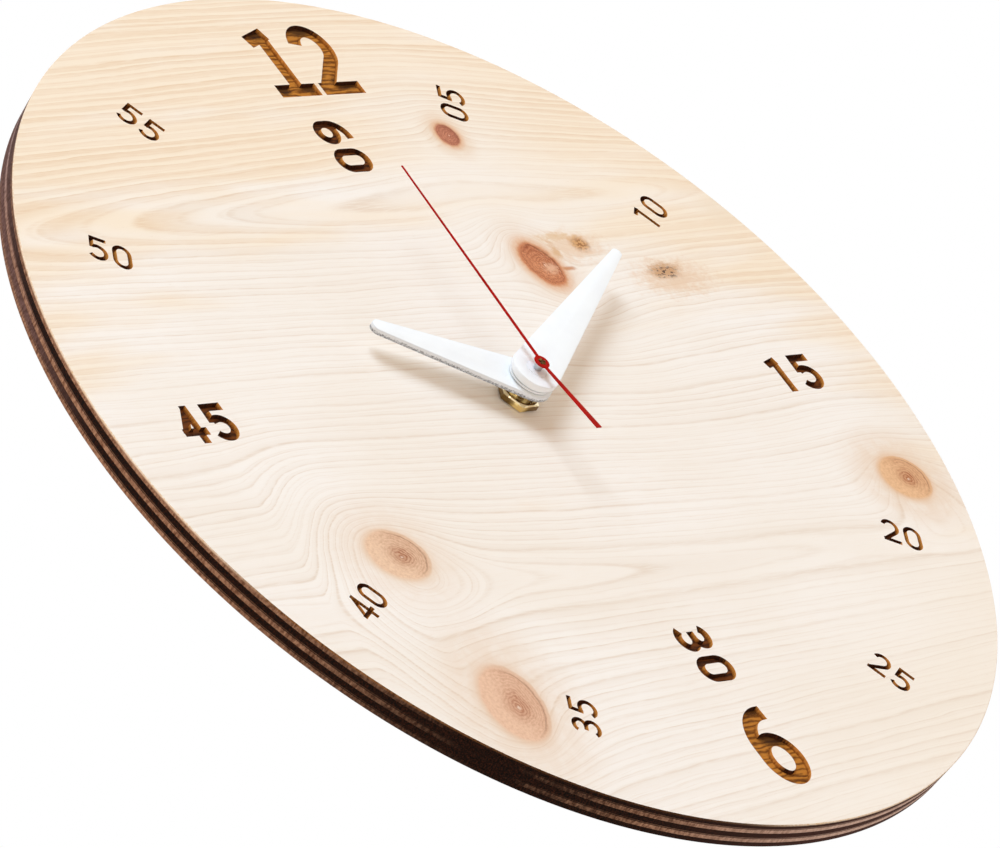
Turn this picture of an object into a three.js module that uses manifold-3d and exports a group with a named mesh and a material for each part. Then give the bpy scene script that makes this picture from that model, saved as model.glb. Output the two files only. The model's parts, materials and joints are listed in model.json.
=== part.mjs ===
// A round wooden wall clock: a five-ply pine dial with engraved numerals, three hands and a quartz
// movement. Lengths are millimetres. The dial group is built lying down, with its face at height 0 and
// looking up (+Z), and is then stood up: 12 o'clock is at +Z, the face looks towards -Y, and the origin
// is where the nail bears.
import * as THREE from 'three';
import { mergeVertices } from 'three/addons/utils/BufferGeometryUtils.js';
import Module from 'manifold-3d';

const wasm = await Module();
wasm.setup();

// Gaps and overruns that many pieces share
const seat = 0.3;
const overrun = 1;

// Wooden dial
const panel = { radius: 150, thickness: 9, glueLine: 0.2 };
const plyNames = ['front_ply', 'second_ply', 'core_ply', 'fourth_ply', 'rear_ply'];

// Engraved numerals: strokes of one width in three styles
const engraving = { depth: 1.2 };
const styles = {
  large: { height: 26.4, width: 15.6, stroke: 4.6, spacing: 1.6, arcStep: 15 },
  bold: { height: 13, width: 8.8, stroke: 2.6, spacing: 1.8, arcStep: 22.5 },
  plain: { height: 9, width: 5.8, stroke: 1.3, spacing: 1.4, arcStep: 30 },
};

// Places of the numerals, as shares of the dial's radius: a ring of minutes between the quarters, and
// the numbers that stand on their own, each with its turn in degrees
const minuteRingShare = 0.816;
const numberShares = [
  { text: '12', style: styles.large, x: 0.098, y: 0.835, turn: 0 },
  { text: '60', style: styles.bold, x: 0.045, y: 0.62, turn: -90 },
  { text: '15', style: styles.bold, x: 0.755, y: -0.008, turn: 0 },
  { text: '30', style: styles.bold, x: -0.013, y: -0.61, turn: -90 },
  { text: '6', style: styles.large, x: -0.015, y: -0.825, turn: 0 },
  { text: '45', style: styles.bold, x: -0.775, y: 0.011, turn: 0 },
];

// Movement case
const battery = { radius: 7, length: 50.5, buttonRadius: 2.7, buttonHeight: 1.4, edge: 0.6 };
const contact = { thickness: 0.4, height: 2.8, flexRoom: 0.55, tabBelowAxis: 4.2, tabAbove: 7 };
const shell = {
  wall: 1.5,
  rearWall: 1.4,
  corner: 4,
  divider: 1.1,
  rearRecess: 0.4,
  topRoom: 0.8,
  trainRoom: 1.7,
};
const frontPlate = { thickness: 1.8, pivotDepth: 1.2 };
const middlePlate = { thickness: 0.8, postRadius: 1.1 };

// Fastening at the hub
const bush = {
  threadRadius: 4,
  boreRadius: 2.8,
  stemRadius: 4.6,
  collarRadius: 6,
  collarHeight: 1,
  proudOfNut: 1.4,
};
const washer = { radius: 12, thickness: 1.3 };
const nut = { acrossFlats: 11, thickness: 2.2, chamferOut: 0.35, chamferDown: 0.7 };

// Gear train: arbor distances set the modules
const tooth = {
  addendumShare: 0.8,
  dedendumShare: 1.15,
  valleyShare: 1.7,
  tipShare: 0.14,
  rootShare: 0.58,
  fewestOnWheel: 30,
};
const train = {
  wheelThickness: 0.8,
  thirdDistance: 8.5,
  intermediateDistance: 9,
  rotorDistance: 7,
  rotorAngle: 70,
  arborRadius: 0.5,
  pivotRadius: 0.4,
  pivotLength: 1.2,
  bossRadius: 1.6,
  hubRadius: 1.1,
};
const motion = {
  distance: 10,
  wheelThickness: 1.2,
  hourWheelThickness: 1.4,
  shaftRadius: 1,
  pivotRadius: 0.7,
};
const teeth = {
  rotorPinion: 8,
  intermediateWheel: 48,
  intermediatePinion: 8,
  secondsWheel: 40,
  secondsPinion: 8,
  thirdWheel: 60,
  thirdPinion: 8,
  centreWheel: 64,
  cannonPinion: 12,
  motionWheel: 36,
  motionPinion: 10,
  hourWheel: 40,
};
const pipes = { hourRadius: 2.5, hourBore: 1.9, minuteRadius: 1.6, minuteBore: 0.8, secondsRadius: 0.5 };
const clutch = { radius: 3.2, thickness: 0.2 };
const knob = { radius: 6, thickness: 2.4, lobes: 20, lobeDepth: 0.35, slotWidth: 1.2, slotDepth: 0.8 };

// Motor and electronics
const magnet = { radius: 2.2, height: 1.8 };
const stator = { thickness: 0.6, airGap: 0.5, neck: 0.7, halfWidth: 14, earWidth: 3, lowerEdgeRoom: 1.3 };
const coil = {
  radius: 3.2,
  coreWidth: 2,
  coreThickness: 0.6,
  flange: 0.6,
  tubeRadius: 1.9,
  windingInset: 0.3,
};
const board = { width: 11.4, thickness: 0.8, top: 24 };
const crystal = { radius: 1, length: 6, fromWall: 5.8 };
const chip = { radius: 2.4, height: 1, fromWall: 5.8, aboveCrystal: 1 };

// Hands, measured from the hub axis, with their heights above the face
const hourHand = { length: 48, hubRadius: 7, tipRadius: 2.2, thickness: 1.8, aboveThread: 1.5, angle: -60 };
const minuteHand = { length: 76, hubRadius: 7, tipRadius: 1.6, thickness: 1.6, angle: 59.3 };
const collet = { flangeRadius: 6.3, flangeHeight: 0.6, sleeveWall: 0.8, sleeveBelow: 1 };
const secondHand = {
  length: 70.5,
  tail: 25.7,
  bossRadius: 2.3,
  thickness: 0.35,
  tipHalfWidth: 0.25,
  neckHalfWidth: 0.5,
  tailHalfWidth: 0.95,
  tipRise: 2.1,
  tailRise: 2,
  tubeRadius: 1.2,
  tubeBore: 0.8,
  tubeLength: 1.8,
  rivetRadius: 0.9,
  angle: 0.5,
};

// Wall hanger
const hanger = {
  width: 24,
  footHeight: 2.4,
  footDepth: 8,
  plate: 2.6,
  slotWidth: 10,
  slotHeight: 6,
  rim: 3.4,
  pegRadius: 1.5,
  pegDepth: 1.1,
  pegSpacing: 15,
};

const degree = Math.PI / 180;
const fine = 96;
const medium = 32;
const coarse = 14;
const cornersPerLobe = 4;

// Heights above the face, and depths behind the movement's front plate
const panelBack = -panel.thickness;
const washerBack = panelBack - seat - washer.thickness;
const plateFront = washerBack - seat;
const plateBack = plateFront - frontPlate.thickness;
const nutTop = seat + nut.thickness;
const threadTop = nutTop + bush.proudOfNut;

const hourWheelAt = seat;
const cannonAt = hourWheelAt + motion.hourWheelThickness + seat;
const middlePlateAt = cannonAt + motion.wheelThickness + seat;
const centreWheelAt = middlePlateAt + middlePlate.thickness + seat;
const clutchAt = centreWheelAt + train.wheelThickness + seat;
const thirdWheelAt = clutchAt + clutch.thickness + seat + seat;
const secondsWheelAt = thirdWheelAt + train.wheelThickness + seat;
const intermediateWheelAt = secondsWheelAt + train.wheelThickness + seat;
const bearingAt = intermediateWheelAt + train.wheelThickness + seat;
const caseDepth = 2 * (seat + battery.radius) + shell.rearRecess - seat;
const rearWallAt = caseDepth - shell.rearWall;
const magnetAt = intermediateWheelAt - seat - magnet.height;
const statorAt = magnetAt + (magnet.height - stator.thickness) / 2;
const coreAt = statorAt + stator.thickness + seat;
const boardAt = bearingAt;

// Places of the arbors across the dial, and the modules that follow from them
const hub = new THREE.Vector2(0, 0);
const thirdPlace = new THREE.Vector2(train.thirdDistance, 0);
const intermediatePlace = new THREE.Vector2(0, train.intermediateDistance);
const rotorPlace = new THREE.Vector2(
  train.rotorDistance * Math.cos(train.rotorAngle * degree),
  train.intermediateDistance + train.rotorDistance * Math.sin(train.rotorAngle * degree),
);
const motionPlace = new THREE.Vector2(-motion.distance, 0);
const moduleFor = (distance, a, b) => (2 * distance) / (a + b);
const modules = {
  rotor: moduleFor(train.rotorDistance, teeth.rotorPinion, teeth.intermediateWheel),
  intermediate: moduleFor(train.intermediateDistance, teeth.intermediatePinion, teeth.secondsWheel),
  seconds: moduleFor(train.thirdDistance, teeth.secondsPinion, teeth.thirdWheel),
  third: moduleFor(train.thirdDistance, teeth.thirdPinion, teeth.centreWheel),
  cannon: moduleFor(motion.distance, teeth.cannonPinion, teeth.motionWheel),
  hour: moduleFor(motion.distance, teeth.motionPinion, teeth.hourWheel),
};
const tipRadius = (count, module) => (count / 2 + tooth.addendumShare) * module;

// Inside of the case, worked outwards from what it holds
const reachDown = Math.max(
  tipRadius(teeth.hourWheel, modules.hour),
  tipRadius(teeth.motionWheel, modules.cannon),
  tipRadius(teeth.thirdWheel, modules.seconds),
);
const stripTop = -reachDown - shell.trainRoom;
const dividerTop = stripTop - contact.thickness - seat;
const batteryTop = dividerTop - shell.divider - seat;
const batteryY = batteryTop - battery.radius;
const insideBottom = batteryY - battery.radius - seat;
const statorTop = rotorPlace.y + magnet.radius + stator.airGap + stator.neck;
const coilY = statorTop + seat + coil.radius;
const insideTop = coilY + coil.radius + shell.topRoom;
const insideHalf = battery.length / 2 + seat + contact.thickness + contact.flexRoom;
const insideCorner = shell.corner - shell.wall;
const caseTop = insideTop + shell.wall;
const caseBottom = insideBottom - shell.wall;
const caseHalf = insideHalf + shell.wall;

// Heights of the hands
const hourHandAt = threadTop + hourHand.aboveThread;
const hourFlangeAt = hourHandAt + hourHand.thickness + seat;
const minuteFlangeAt = hourFlangeAt + collet.flangeHeight + seat;
const minuteHandAt = minuteFlangeAt + collet.flangeHeight + seat;
const minutePipeTop = minuteHandAt + minuteHand.thickness;
const tubeAt = minutePipeTop + seat;
const secondHandAt = tubeAt + secondHand.tubeLength + seat;

// The nail bears on the hanger's slot, at the middle of the hanger plate
const hangerBearing = caseTop + seat + hanger.footHeight + hanger.slotHeight;
const hangerMiddle = plateBack - caseDepth + hanger.plate / 2;

// Finishes
const finish = (color, roughness, metalness) =>
  new THREE.MeshStandardMaterial({ color, roughness, metalness });
const pineFace = finish(0xf2e2c9, 0.6, 0);
const pineCore = finish(0x9c6e55, 0.75, 0);
const whiteAcrylic = finish(0xf4f5f5, 0.35, 0);
const redLacquer = finish(0xb81a10, 0.35, 0);
const brass = finish(0xc9a24a, 0.25, 1);
const steel = finish(0xb9bcc0, 0.35, 1);
const blackPlastic = finish(0x1b1b1d, 0.5, 0);
const greyPlastic = finish(0x5d6064, 0.55, 0);
const whitePlastic = finish(0xe6e4dc, 0.5, 0);
const blackRubber = finish(0x232323, 0.85, 0);
const copper = finish(0xb5652f, 0.35, 1);
const boardGreen = finish(0x2f5a3a, 0.6, 0);
const batteryJacket = finish(0x3c4b58, 0.4, 0.2);

// A closed solid from a three.js geometry
function solid(geometry) {
  const bare = geometry.clone();
  bare.deleteAttribute('normal');
  bare.deleteAttribute('uv');
  const merged = mergeVertices(bare);
  const corners = [];
  for (let i = 0; i < merged.index.count; i += 3) {
    const [a, b, c] = [merged.index.getX(i), merged.index.getX(i + 1), merged.index.getX(i + 2)];
    if (a !== b && b !== c && a !== c) corners.push(a, b, c);
  }
  const mesh = new wasm.Mesh({
    numProp: 3,
    vertProperties: new Float32Array(merged.attributes.position.array),
    triVerts: new Uint32Array(corners),
  });
  return new wasm.Manifold(mesh);
}

// A three.js mesh from a closed solid
function meshOf(name, body, material) {
  const { vertProperties, triVerts } = body.getMesh();
  const geometry = new THREE.BufferGeometry();
  geometry.setAttribute('position', new THREE.BufferAttribute(vertProperties, 3));
  geometry.setIndex(new THREE.BufferAttribute(triVerts, 1));
  geometry.computeVertexNormals();
  const mesh = new THREE.Mesh(geometry, material);
  mesh.name = name;
  return mesh;
}

// An outline raised from one height to another
function prism(shape, low, high, segments = coarse) {
  const geometry = new THREE.ExtrudeGeometry(shape, {
    depth: high - low,
    bevelEnabled: false,
    curveSegments: segments / 2,
  });
  geometry.translate(0, 0, low);
  return solid(geometry);
}

// A round bar that stands on a place of the dial
function bar(place, radius, low, high, segments = coarse) {
  const shape = new THREE.Shape().absarc(place.x, place.y, radius, 0, 2 * Math.PI, false);
  return prism(shape, low, high, segments);
}

// A closed profile of [radius, height] corners turned about the hub axis
function turned(profile, segments = medium) {
  const points = [...profile, profile[0]].map(([r, z]) => new THREE.Vector2(r, z));
  const geometry = new THREE.LatheGeometry(points, segments);
  geometry.rotateX(Math.PI / 2);
  return solid(geometry);
}

// A flat ring
function ring(outer, inner, low, high, outerSegments = medium, innerSegments = medium) {
  const hole = bar(hub, inner, low - overrun, high + overrun, innerSegments);
  return bar(hub, outer, low, high, outerSegments).subtract(hole);
}

// A rectangle between two corners
function rectangle(x0, y0, x1, y1) {
  return new THREE.Shape([
    new THREE.Vector2(x0, y0),
    new THREE.Vector2(x1, y0),
    new THREE.Vector2(x1, y1),
    new THREE.Vector2(x0, y1),
  ]);
}

// A rectangle with round corners
function roundedRectangle(x0, y0, x1, y1, radius) {
  const shape = new THREE.Shape();
  shape.absarc(x1 - radius, y0 + radius, radius, -Math.PI / 2, 0, false);
  shape.absarc(x1 - radius, y1 - radius, radius, 0, Math.PI / 2, false);
  shape.absarc(x0 + radius, y1 - radius, radius, Math.PI / 2, Math.PI, false);
  shape.absarc(x0 + radius, y0 + radius, radius, Math.PI, 1.5 * Math.PI, false);
  return shape;
}

// The point of a circle at an angle
function onCircle(place, radius, angle) {
  return new THREE.Vector2(place.x + radius * Math.cos(angle), place.y + radius * Math.sin(angle));
}

// The height of a plane that lies behind the movement's front plate by a depth
const behind = (depth) => plateBack - depth;

// A toothed outline, whose first tooth points along the given angle. Pinions have flat valleys, and
// wheels sharp ones.
function gearOutline(place, count, module, firstTooth) {
  const pitch = (2 * Math.PI) / count;
  const tip = tipRadius(count, module);
  const root = (count / 2 - tooth.dedendumShare) * module;
  const valley = (count / 2 - tooth.valleyShare) * module;
  const flanks = [
    [tip, -tooth.tipShare / 2],
    [tip, tooth.tipShare / 2],
  ];
  const corners = count < tooth.fewestOnWheel
    ? [[root, -tooth.rootShare / 2], ...flanks, [root, tooth.rootShare / 2]]
    : [[valley, -0.5], ...flanks];
  const points = [];
  for (let i = 0; i < count; i += 1) {
    const middle = firstTooth + i * pitch;
    for (const [radius, share] of corners) {
      const angle = middle + share * pitch;
      points.push(onCircle(place, radius, angle));
    }
  }
  return new THREE.Shape(points);
}

// A toothed wheel between two depths
function gear(place, count, module, firstTooth, from, to) {
  return prism(gearOutline(place, count, module, firstTooth), behind(to), behind(from));
}

// The angle of a gear's first tooth that puts a gap opposite its neighbour's tooth
function meshAngle(place, count, neighbour, neighbourCount, neighbourFirst) {
  const towards = Math.atan2(place.y - neighbour.y, place.x - neighbour.x);
  const neighbourPitch = (2 * Math.PI) / neighbourCount;
  const lag = (towards - neighbourFirst) / neighbourPitch;
  const phase = lag - Math.floor(lag);
  return towards + Math.PI + (phase + 0.5) * ((2 * Math.PI) / count);
}

const first = {};
first.secondsWheel = 0;
first.secondsPinion = 0;
first.intermediatePinion = meshAngle(
  intermediatePlace, teeth.intermediatePinion, hub, teeth.secondsWheel, first.secondsWheel);
first.intermediateWheel = 0;
first.rotorPinion = meshAngle(
  rotorPlace, teeth.rotorPinion, intermediatePlace, teeth.intermediateWheel, first.intermediateWheel);
first.thirdWheel = meshAngle(thirdPlace, teeth.thirdWheel, hub, teeth.secondsPinion, first.secondsPinion);
first.thirdPinion = 0;
first.centreWheel = meshAngle(hub, teeth.centreWheel, thirdPlace, teeth.thirdPinion, first.thirdPinion);
first.cannonPinion = 0;
first.motionWheel = meshAngle(motionPlace, teeth.motionWheel, hub, teeth.cannonPinion, first.cannonPinion);
first.motionPinion = 0;
first.hourWheel = meshAngle(hub, teeth.hourWheel, motionPlace, teeth.motionPinion, first.motionPinion);

// One ply of the dial
function ply(number) {
  const height = (panel.thickness + panel.glueLine) / plyNames.length - panel.glueLine;
  const top = -number * (height + panel.glueLine);
  return ring(panel.radius, bush.threadRadius + seat, top - height, top, fine, coarse);
}

// Points of an arc, from one angle to another in degrees
function arc(x, y, across, up, from, to, step) {
  const steps = Math.ceil(Math.abs(to - from) / step);
  return Array.from({ length: steps + 1 }, (_, i) => {
    const angle = (from + ((to - from) * i) / steps) * degree;
    return [x + across * Math.cos(angle), y + up * Math.sin(angle)];
  });
}

// The strokes of a digit: lines in shares of the width and height that the centre lines fill, and how
// many half strokes of square end each line's two ends get. A closed stroke leaves out its last point.
function digitShares(digit, style) {
  const bend = (...sizes) => arc(...sizes, style.arcStep);
  const edge = style.stroke / 2 / (style.width - style.stroke);
  const oval = [...bend(0.5, 0.7, 0.5, 0.3, 0, 180), ...bend(0.5, 0.3, 0.5, 0.3, 180, 360)];
  const digits = {
    0: [{ closed: true, line: oval }],
    1: [
      { line: [[0.55, 0], [0.55, 0.92]], ends: [1, 0] },
      { line: [[0.55 + edge, 0.99], [0, 0.86]], ends: [0, 0] },
    ],
    2: [
      { line: [...bend(0.5, 0.7, 0.5, 0.3, 165, -45), [0, 0]], ends: [0, 0] },
      { line: [[0, 0], [1, 0]] },
    ],
    3: [
      { line: [...bend(0.46, 0.76, 0.46, 0.24, 155, -90), [0.34, 0.52]], ends: [0, 1] },
      { line: [[0.34, 0.52], ...bend(0.48, 0.26, 0.52, 0.26, 90, -155)], ends: [1, 0] },
    ],
    4: [
      { line: [[0.72, 0], [0.72, 1]] },
      { line: [[0.72, 1], [0.04, 0.3]], ends: [0, 1] },
      { line: [[0, 0.26], [1, 0.26]] },
    ],
    5: [
      { line: [[0.94, 1], [0.12, 1], [0.08, 0.5]], ends: [1, 0] },
      { line: [[0.08, 0.57], ...bend(0.45, 0.31, 0.55, 0.31, 105, -150)], ends: [0, 0] },
    ],
    6: [
      { closed: true, line: bend(0.5, 0.3, 0.5, 0.3, 0, 360).slice(0, -1) },
      { line: [...bend(0.82, 0.52, 0.82, 0.48, 90, 180), [0, 0.3]], ends: [0.5, 0] },
    ],
  };
  const slab = { line: [[0, 0], [1, 0]] };
  return digit === '1' && style === styles.large ? [...digits[1], slab] : digits[digit];
}

// The two sides of a line at half a stroke's width
function strokeSides(line, half, closed, ends) {
  const last = line.length - 1;
  const along = (a, b) => b.clone().sub(a).normalize();
  const sides = [[], []];
  line.forEach((point, i) => {
    const into = i > 0 || closed ? along(line.at(i - 1), point) : along(point, line[1]);
    const out = i < last || closed ? along(point, line[(i + 1) % line.length]) : into;
    const mitre = into.clone().add(out);
    mitre.multiplyScalar((2 * half) / mitre.lengthSq());
    const middle = point.clone();
    if (!closed && i === 0) middle.addScaledVector(into, -half * ends[0]);
    if (!closed && i === last) middle.addScaledVector(into, half * ends[1]);
    sides[0].push(new THREE.Vector2(middle.x + mitre.y, middle.y - mitre.x));
    sides[1].push(new THREE.Vector2(middle.x - mitre.y, middle.y + mitre.x));
  });
  return sides;
}

function strokeShape(line, half, closed, ends) {
  const [right, left] = strokeSides(line, half, closed, ends);
  if (!closed) return new THREE.Shape([...right, ...left.reverse()]);
  const shape = new THREE.Shape(right);
  shape.holes.push(new THREE.Path(left.reverse()));
  return shape;
}

// The cutter for a number, centred on its place and turned with it
function numberCutter({ text, style, x, y, turn }) {
  const [wide, tall] = [style.width - style.stroke, style.height - style.stroke];
  const pitch = style.width + style.spacing;
  const place = new THREE.Vector2(x * panel.radius, y * panel.radius);
  const cutters = [...text].flatMap((digit, i) => {
    const left = (i - (text.length - 1) / 2) * pitch - wide / 2;
    return digitShares(digit, style).map(({ line, closed = false, ends = [1, 1] }) => {
      const points = line.map(([across, up]) => {
        const point = new THREE.Vector2(left + across * wide, (up - 0.5) * tall);
        return point.rotateAround(hub, turn * degree).add(place);
      });
      return prism(strokeShape(points, style.stroke / 2, closed, ends), -engraving.depth, overrun);
    });
  });
  return cutters.reduce((whole, cutter) => whole.add(cutter));
}

// The minutes between the quarters read along the dial's radius, from left to right
function ringNumbers() {
  const hours = [1, 2, 4, 5, 7, 8, 10, 11];
  return hours.map((hour) => {
    const angle = 90 - hour * 30;
    return {
      text: String(hour * 5).padStart(2, '0'),
      style: styles.plain,
      x: minuteRingShare * Math.cos(angle * degree),
      y: minuteRingShare * Math.sin(angle * degree),
      turn: hour < 6 ? angle : angle + 180,
    };
  });
}

function engravedPly() {
  return [...numberShares, ...ringNumbers()].reduce(
    (face, number) => face.subtract(numberCutter(number)), ply(0));
}

function hexNut() {
  const corner = nut.acrossFlats / 2 / Math.cos(Math.PI / 6);
  const shape = new THREE.Shape();
  for (let i = 0; i < 6; i += 1) {
    const angle = (i * Math.PI) / 3;
    const [x, y] = [corner * Math.cos(angle), corner * Math.sin(angle)];
    if (i === 0) shape.moveTo(x, y);
    else shape.lineTo(x, y);
  }
  shape.closePath();
  const cone = turned([
    [0, seat - overrun],
    [corner + nut.chamferOut, seat - overrun],
    [corner + nut.chamferOut, nutTop - nut.chamferDown],
    [nut.acrossFlats / 2, nutTop],
    [0, nutTop],
  ]);
  const bore = bar(hub, bush.threadRadius + seat, seat - overrun, nutTop + overrun, medium);
  return prism(shape, seat, nutTop).intersect(cone).subtract(bore);
}

function threadedBush() {
  const collarTop = plateFront + seat + bush.collarHeight;
  return turned([
    [bush.boreRadius, plateBack],
    [bush.stemRadius, plateBack],
    [bush.stemRadius, plateFront + seat],
    [bush.collarRadius, plateFront + seat],
    [bush.collarRadius, collarTop],
    [bush.threadRadius, collarTop],
    [bush.threadRadius, threadTop],
    [bush.boreRadius, threadTop],
  ]);
}

function rubberWasher() {
  return ring(washer.radius, bush.collarRadius + seat, washerBack, panelBack - seat);
}

function caseFrontPlate() {
  const outline = roundedRectangle(-caseHalf, caseBottom, caseHalf, caseTop, shell.corner);
  const pivotTop = plateBack + frontPlate.pivotDepth;
  return prism(outline, plateBack, plateFront)
    .subtract(bar(hub, bush.stemRadius + seat, plateBack - overrun, plateFront + overrun, medium))
    .subtract(bar(motionPlace, motion.pivotRadius + seat, plateBack - overrun, pivotTop));
}

function caseMiddlePlate() {
  const half = insideHalf - seat;
  const outline = roundedRectangle(-half, stripTop, half, insideTop - seat, insideCorner);
  const low = behind(middlePlateAt + middlePlate.thickness);
  const high = behind(middlePlateAt);
  let plate = prism(outline, low, high);
  for (const [x, y] of statorPosts()) {
    plate = plate.add(bar(new THREE.Vector2(x, y), middlePlate.postRadius, behind(statorAt - seat), high));
  }
  const holes = [
    [hub, pipes.minuteRadius + seat],
    [motionPlace, motion.shaftRadius + seat],
    [thirdPlace, train.pivotRadius + seat],
    [intermediatePlace, train.pivotRadius + seat],
    [rotorPlace, train.pivotRadius + seat],
  ];
  for (const [place, radius] of holes) {
    plate = plate.subtract(bar(place, radius, low - overrun, high + overrun));
  }
  return plate;
}

// Where the middle plate carries the stator
function statorPosts() {
  const inset = stator.earWidth / 2;
  return [-1, 1].flatMap((side) => [
    [rotorPlace.x + side * (stator.halfWidth - inset), statorBottom() + inset],
    [rotorPlace.x + side * (stator.halfWidth - inset), coilY],
  ]);
}

const statorBottom = () => rotorPlace.y - magnet.radius - stator.airGap - stator.lowerEdgeRoom;

function rearCover() {
  const outside = roundedRectangle(-caseHalf, caseBottom, caseHalf, caseTop, shell.corner);
  const inside = roundedRectangle(-insideHalf, insideBottom, insideHalf, insideTop, insideCorner);
  const opening = rectangle(-insideHalf, insideBottom, insideHalf, batteryTop + seat);
  const front = behind(seat);
  const divider = rectangle(-battery.length / 2, batteryTop + seat, battery.length / 2, dividerTop);
  let cover = prism(outside, behind(caseDepth), front)
    .subtract(prism(inside, behind(rearWallAt), front + overrun))
    .subtract(prism(opening, behind(caseDepth) - overrun, front + overrun))
    .add(prism(divider, behind(caseDepth), front));
  for (const place of [hub, thirdPlace, intermediatePlace, rotorPlace]) {
    cover = cover
      .add(bar(place, train.bossRadius, behind(rearWallAt) - shell.rearWall / 2, behind(bearingAt)))
      .subtract(bar(place, train.pivotRadius + seat, behind(bearingAt + train.pivotLength + seat),
        behind(bearingAt) + overrun));
  }
  const knobHole = knob.radius + seat + seat;
  const wallFront = behind(rearWallAt) + overrun;
  cover = cover.subtract(bar(motionPlace, knobHole, behind(caseDepth) - overrun, wallFront, medium));
  for (const side of [-1, 1]) {
    const pegHole = hangerPeg(
      side, hanger.pegRadius + seat, caseTop - hanger.pegDepth - seat, caseTop + overrun);
    cover = cover.subtract(pegHole);
  }
  return cover;
}

// A peg of the hanger, along the dial's up direction
function hangerPeg(side, radius, low, high) {
  const geometry = new THREE.CylinderGeometry(radius, radius, high - low, coarse);
  const middle = behind(caseDepth) + hanger.footDepth / 2;
  geometry.translate((side * hanger.pegSpacing) / 2, (low + high) / 2, middle);
  return solid(geometry);
}

function wallHanger() {
  const low = caseTop + seat;
  const rear = behind(caseDepth);
  const slotTop = low + hanger.footHeight + hanger.slotHeight;
  const half = hanger.width / 2;
  const arch = new THREE.Shape();
  arch.moveTo(-half, low);
  arch.lineTo(half, low);
  arch.lineTo(half, low + hanger.footHeight);
  arch.lineTo(hanger.slotWidth / 2 + hanger.rim, slotTop);
  arch.lineTo(hanger.slotWidth / 2, slotTop + hanger.rim);
  arch.lineTo(-hanger.slotWidth / 2, slotTop + hanger.rim);
  arch.lineTo(-hanger.slotWidth / 2 - hanger.rim, slotTop);
  arch.lineTo(-half, low + hanger.footHeight);
  const slot = rectangle(-hanger.slotWidth / 2, low + hanger.footHeight, hanger.slotWidth / 2, slotTop);
  let body = prism(arch, rear, rear + hanger.plate)
    .subtract(prism(slot, rear - overrun, rear + hanger.plate + overrun))
    .add(prism(rectangle(-half, low, half, low + hanger.footHeight), rear, rear + hanger.footDepth));
  for (const side of [-1, 1]) {
    const pegTop = low + hanger.footHeight / 2;
    body = body.add(hangerPeg(side, hanger.pegRadius, caseTop - hanger.pegDepth, pegTop));
  }
  return body;
}

function dryCell() {
  const half = battery.length / 2;
  const shoulder = half - battery.buttonHeight;
  const geometry = new THREE.LatheGeometry(
    [
      [0, -half],
      [battery.radius - battery.edge, -half],
      [battery.radius, -half + battery.edge],
      [battery.radius, shoulder - battery.edge],
      [battery.radius - battery.edge, shoulder],
      [battery.buttonRadius, shoulder],
      [battery.buttonRadius, half],
      [0, half],
    ].map(([r, y]) => new THREE.Vector2(r, y)),
    medium,
  );
  geometry.rotateZ(-Math.PI / 2);
  geometry.translate(0, batteryY, behind(seat + battery.radius));
  return solid(geometry);
}

const contactX = battery.length / 2 + seat;
const contactFrom = boardAt - seat - contact.height;

function negativeContact() {
  const shape = rectangle(
    -contactX - contact.thickness, batteryY - contact.tabBelowAxis, -contactX, stripTop + contact.tabAbove);
  return prism(shape, behind(contactFrom + contact.height), behind(contactFrom));
}

function positiveContact() {
  const bottom = batteryY - contact.tabBelowAxis;
  const stripBottom = stripTop - contact.thickness;
  const shape = new THREE.Shape([
    new THREE.Vector2(contactX, bottom),
    new THREE.Vector2(contactX + contact.thickness, bottom),
    new THREE.Vector2(contactX + contact.thickness, stripTop),
    new THREE.Vector2(-insideHalf + board.width / 2, stripTop),
    new THREE.Vector2(-insideHalf + board.width / 2, stripBottom),
    new THREE.Vector2(contactX, stripBottom),
  ]);
  return prism(shape, behind(contactFrom + contact.height), behind(contactFrom));
}

function circuitBoard() {
  const shape = rectangle(
    -insideHalf + seat, stripTop - contact.thickness, -insideHalf + seat + board.width, board.top);
  return prism(shape, behind(boardAt + board.thickness), behind(boardAt));
}

const boardRear = boardAt + board.thickness + seat;

// The crystal lies clear of the setting knob's hole, and the chip above it
const crystalY = motionPlace.y + knob.radius + seat + seat + crystal.length / 2;
const chipY = crystalY + crystal.length / 2 + chip.aboveCrystal + chip.radius;

function controlChip() {
  const place = new THREE.Vector2(-insideHalf + chip.fromWall, chipY);
  return bar(place, chip.radius, behind(boardRear + chip.height), behind(boardRear));
}

function quartzCrystal() {
  const geometry = new THREE.CylinderGeometry(crystal.radius, crystal.radius, crystal.length, coarse);
  geometry.translate(-insideHalf + crystal.fromWall, crystalY, behind(boardRear + crystal.radius));
  return solid(geometry);
}

function statorPlate() {
  const { x } = rotorPlace;
  const half = stator.halfWidth;
  const earTop = coilY + coil.coreWidth;
  const shape = new THREE.Shape([
    new THREE.Vector2(x - half, statorBottom()),
    new THREE.Vector2(x + half, statorBottom()),
    new THREE.Vector2(x + half, earTop),
    new THREE.Vector2(x + half - stator.earWidth, earTop),
    new THREE.Vector2(x + half - stator.earWidth, statorTop),
    new THREE.Vector2(x - half + stator.earWidth, statorTop),
    new THREE.Vector2(x - half + stator.earWidth, earTop),
    new THREE.Vector2(x - half, earTop),
  ]);
  const low = behind(statorAt + stator.thickness);
  const high = behind(statorAt);
  const eye = bar(rotorPlace, magnet.radius + stator.airGap, low - overrun, high + overrun, medium);
  return prism(shape, low, high).subtract(eye);
}

function coilCore() {
  const half = stator.halfWidth;
  const shape = rectangle(
    rotorPlace.x - half, coilY - coil.coreWidth / 2, rotorPlace.x + half, coilY + coil.coreWidth / 2);
  return prism(shape, behind(coreAt + coil.coreThickness), behind(coreAt));
}

const coilHalf = stator.halfWidth - stator.earWidth - seat;

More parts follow.
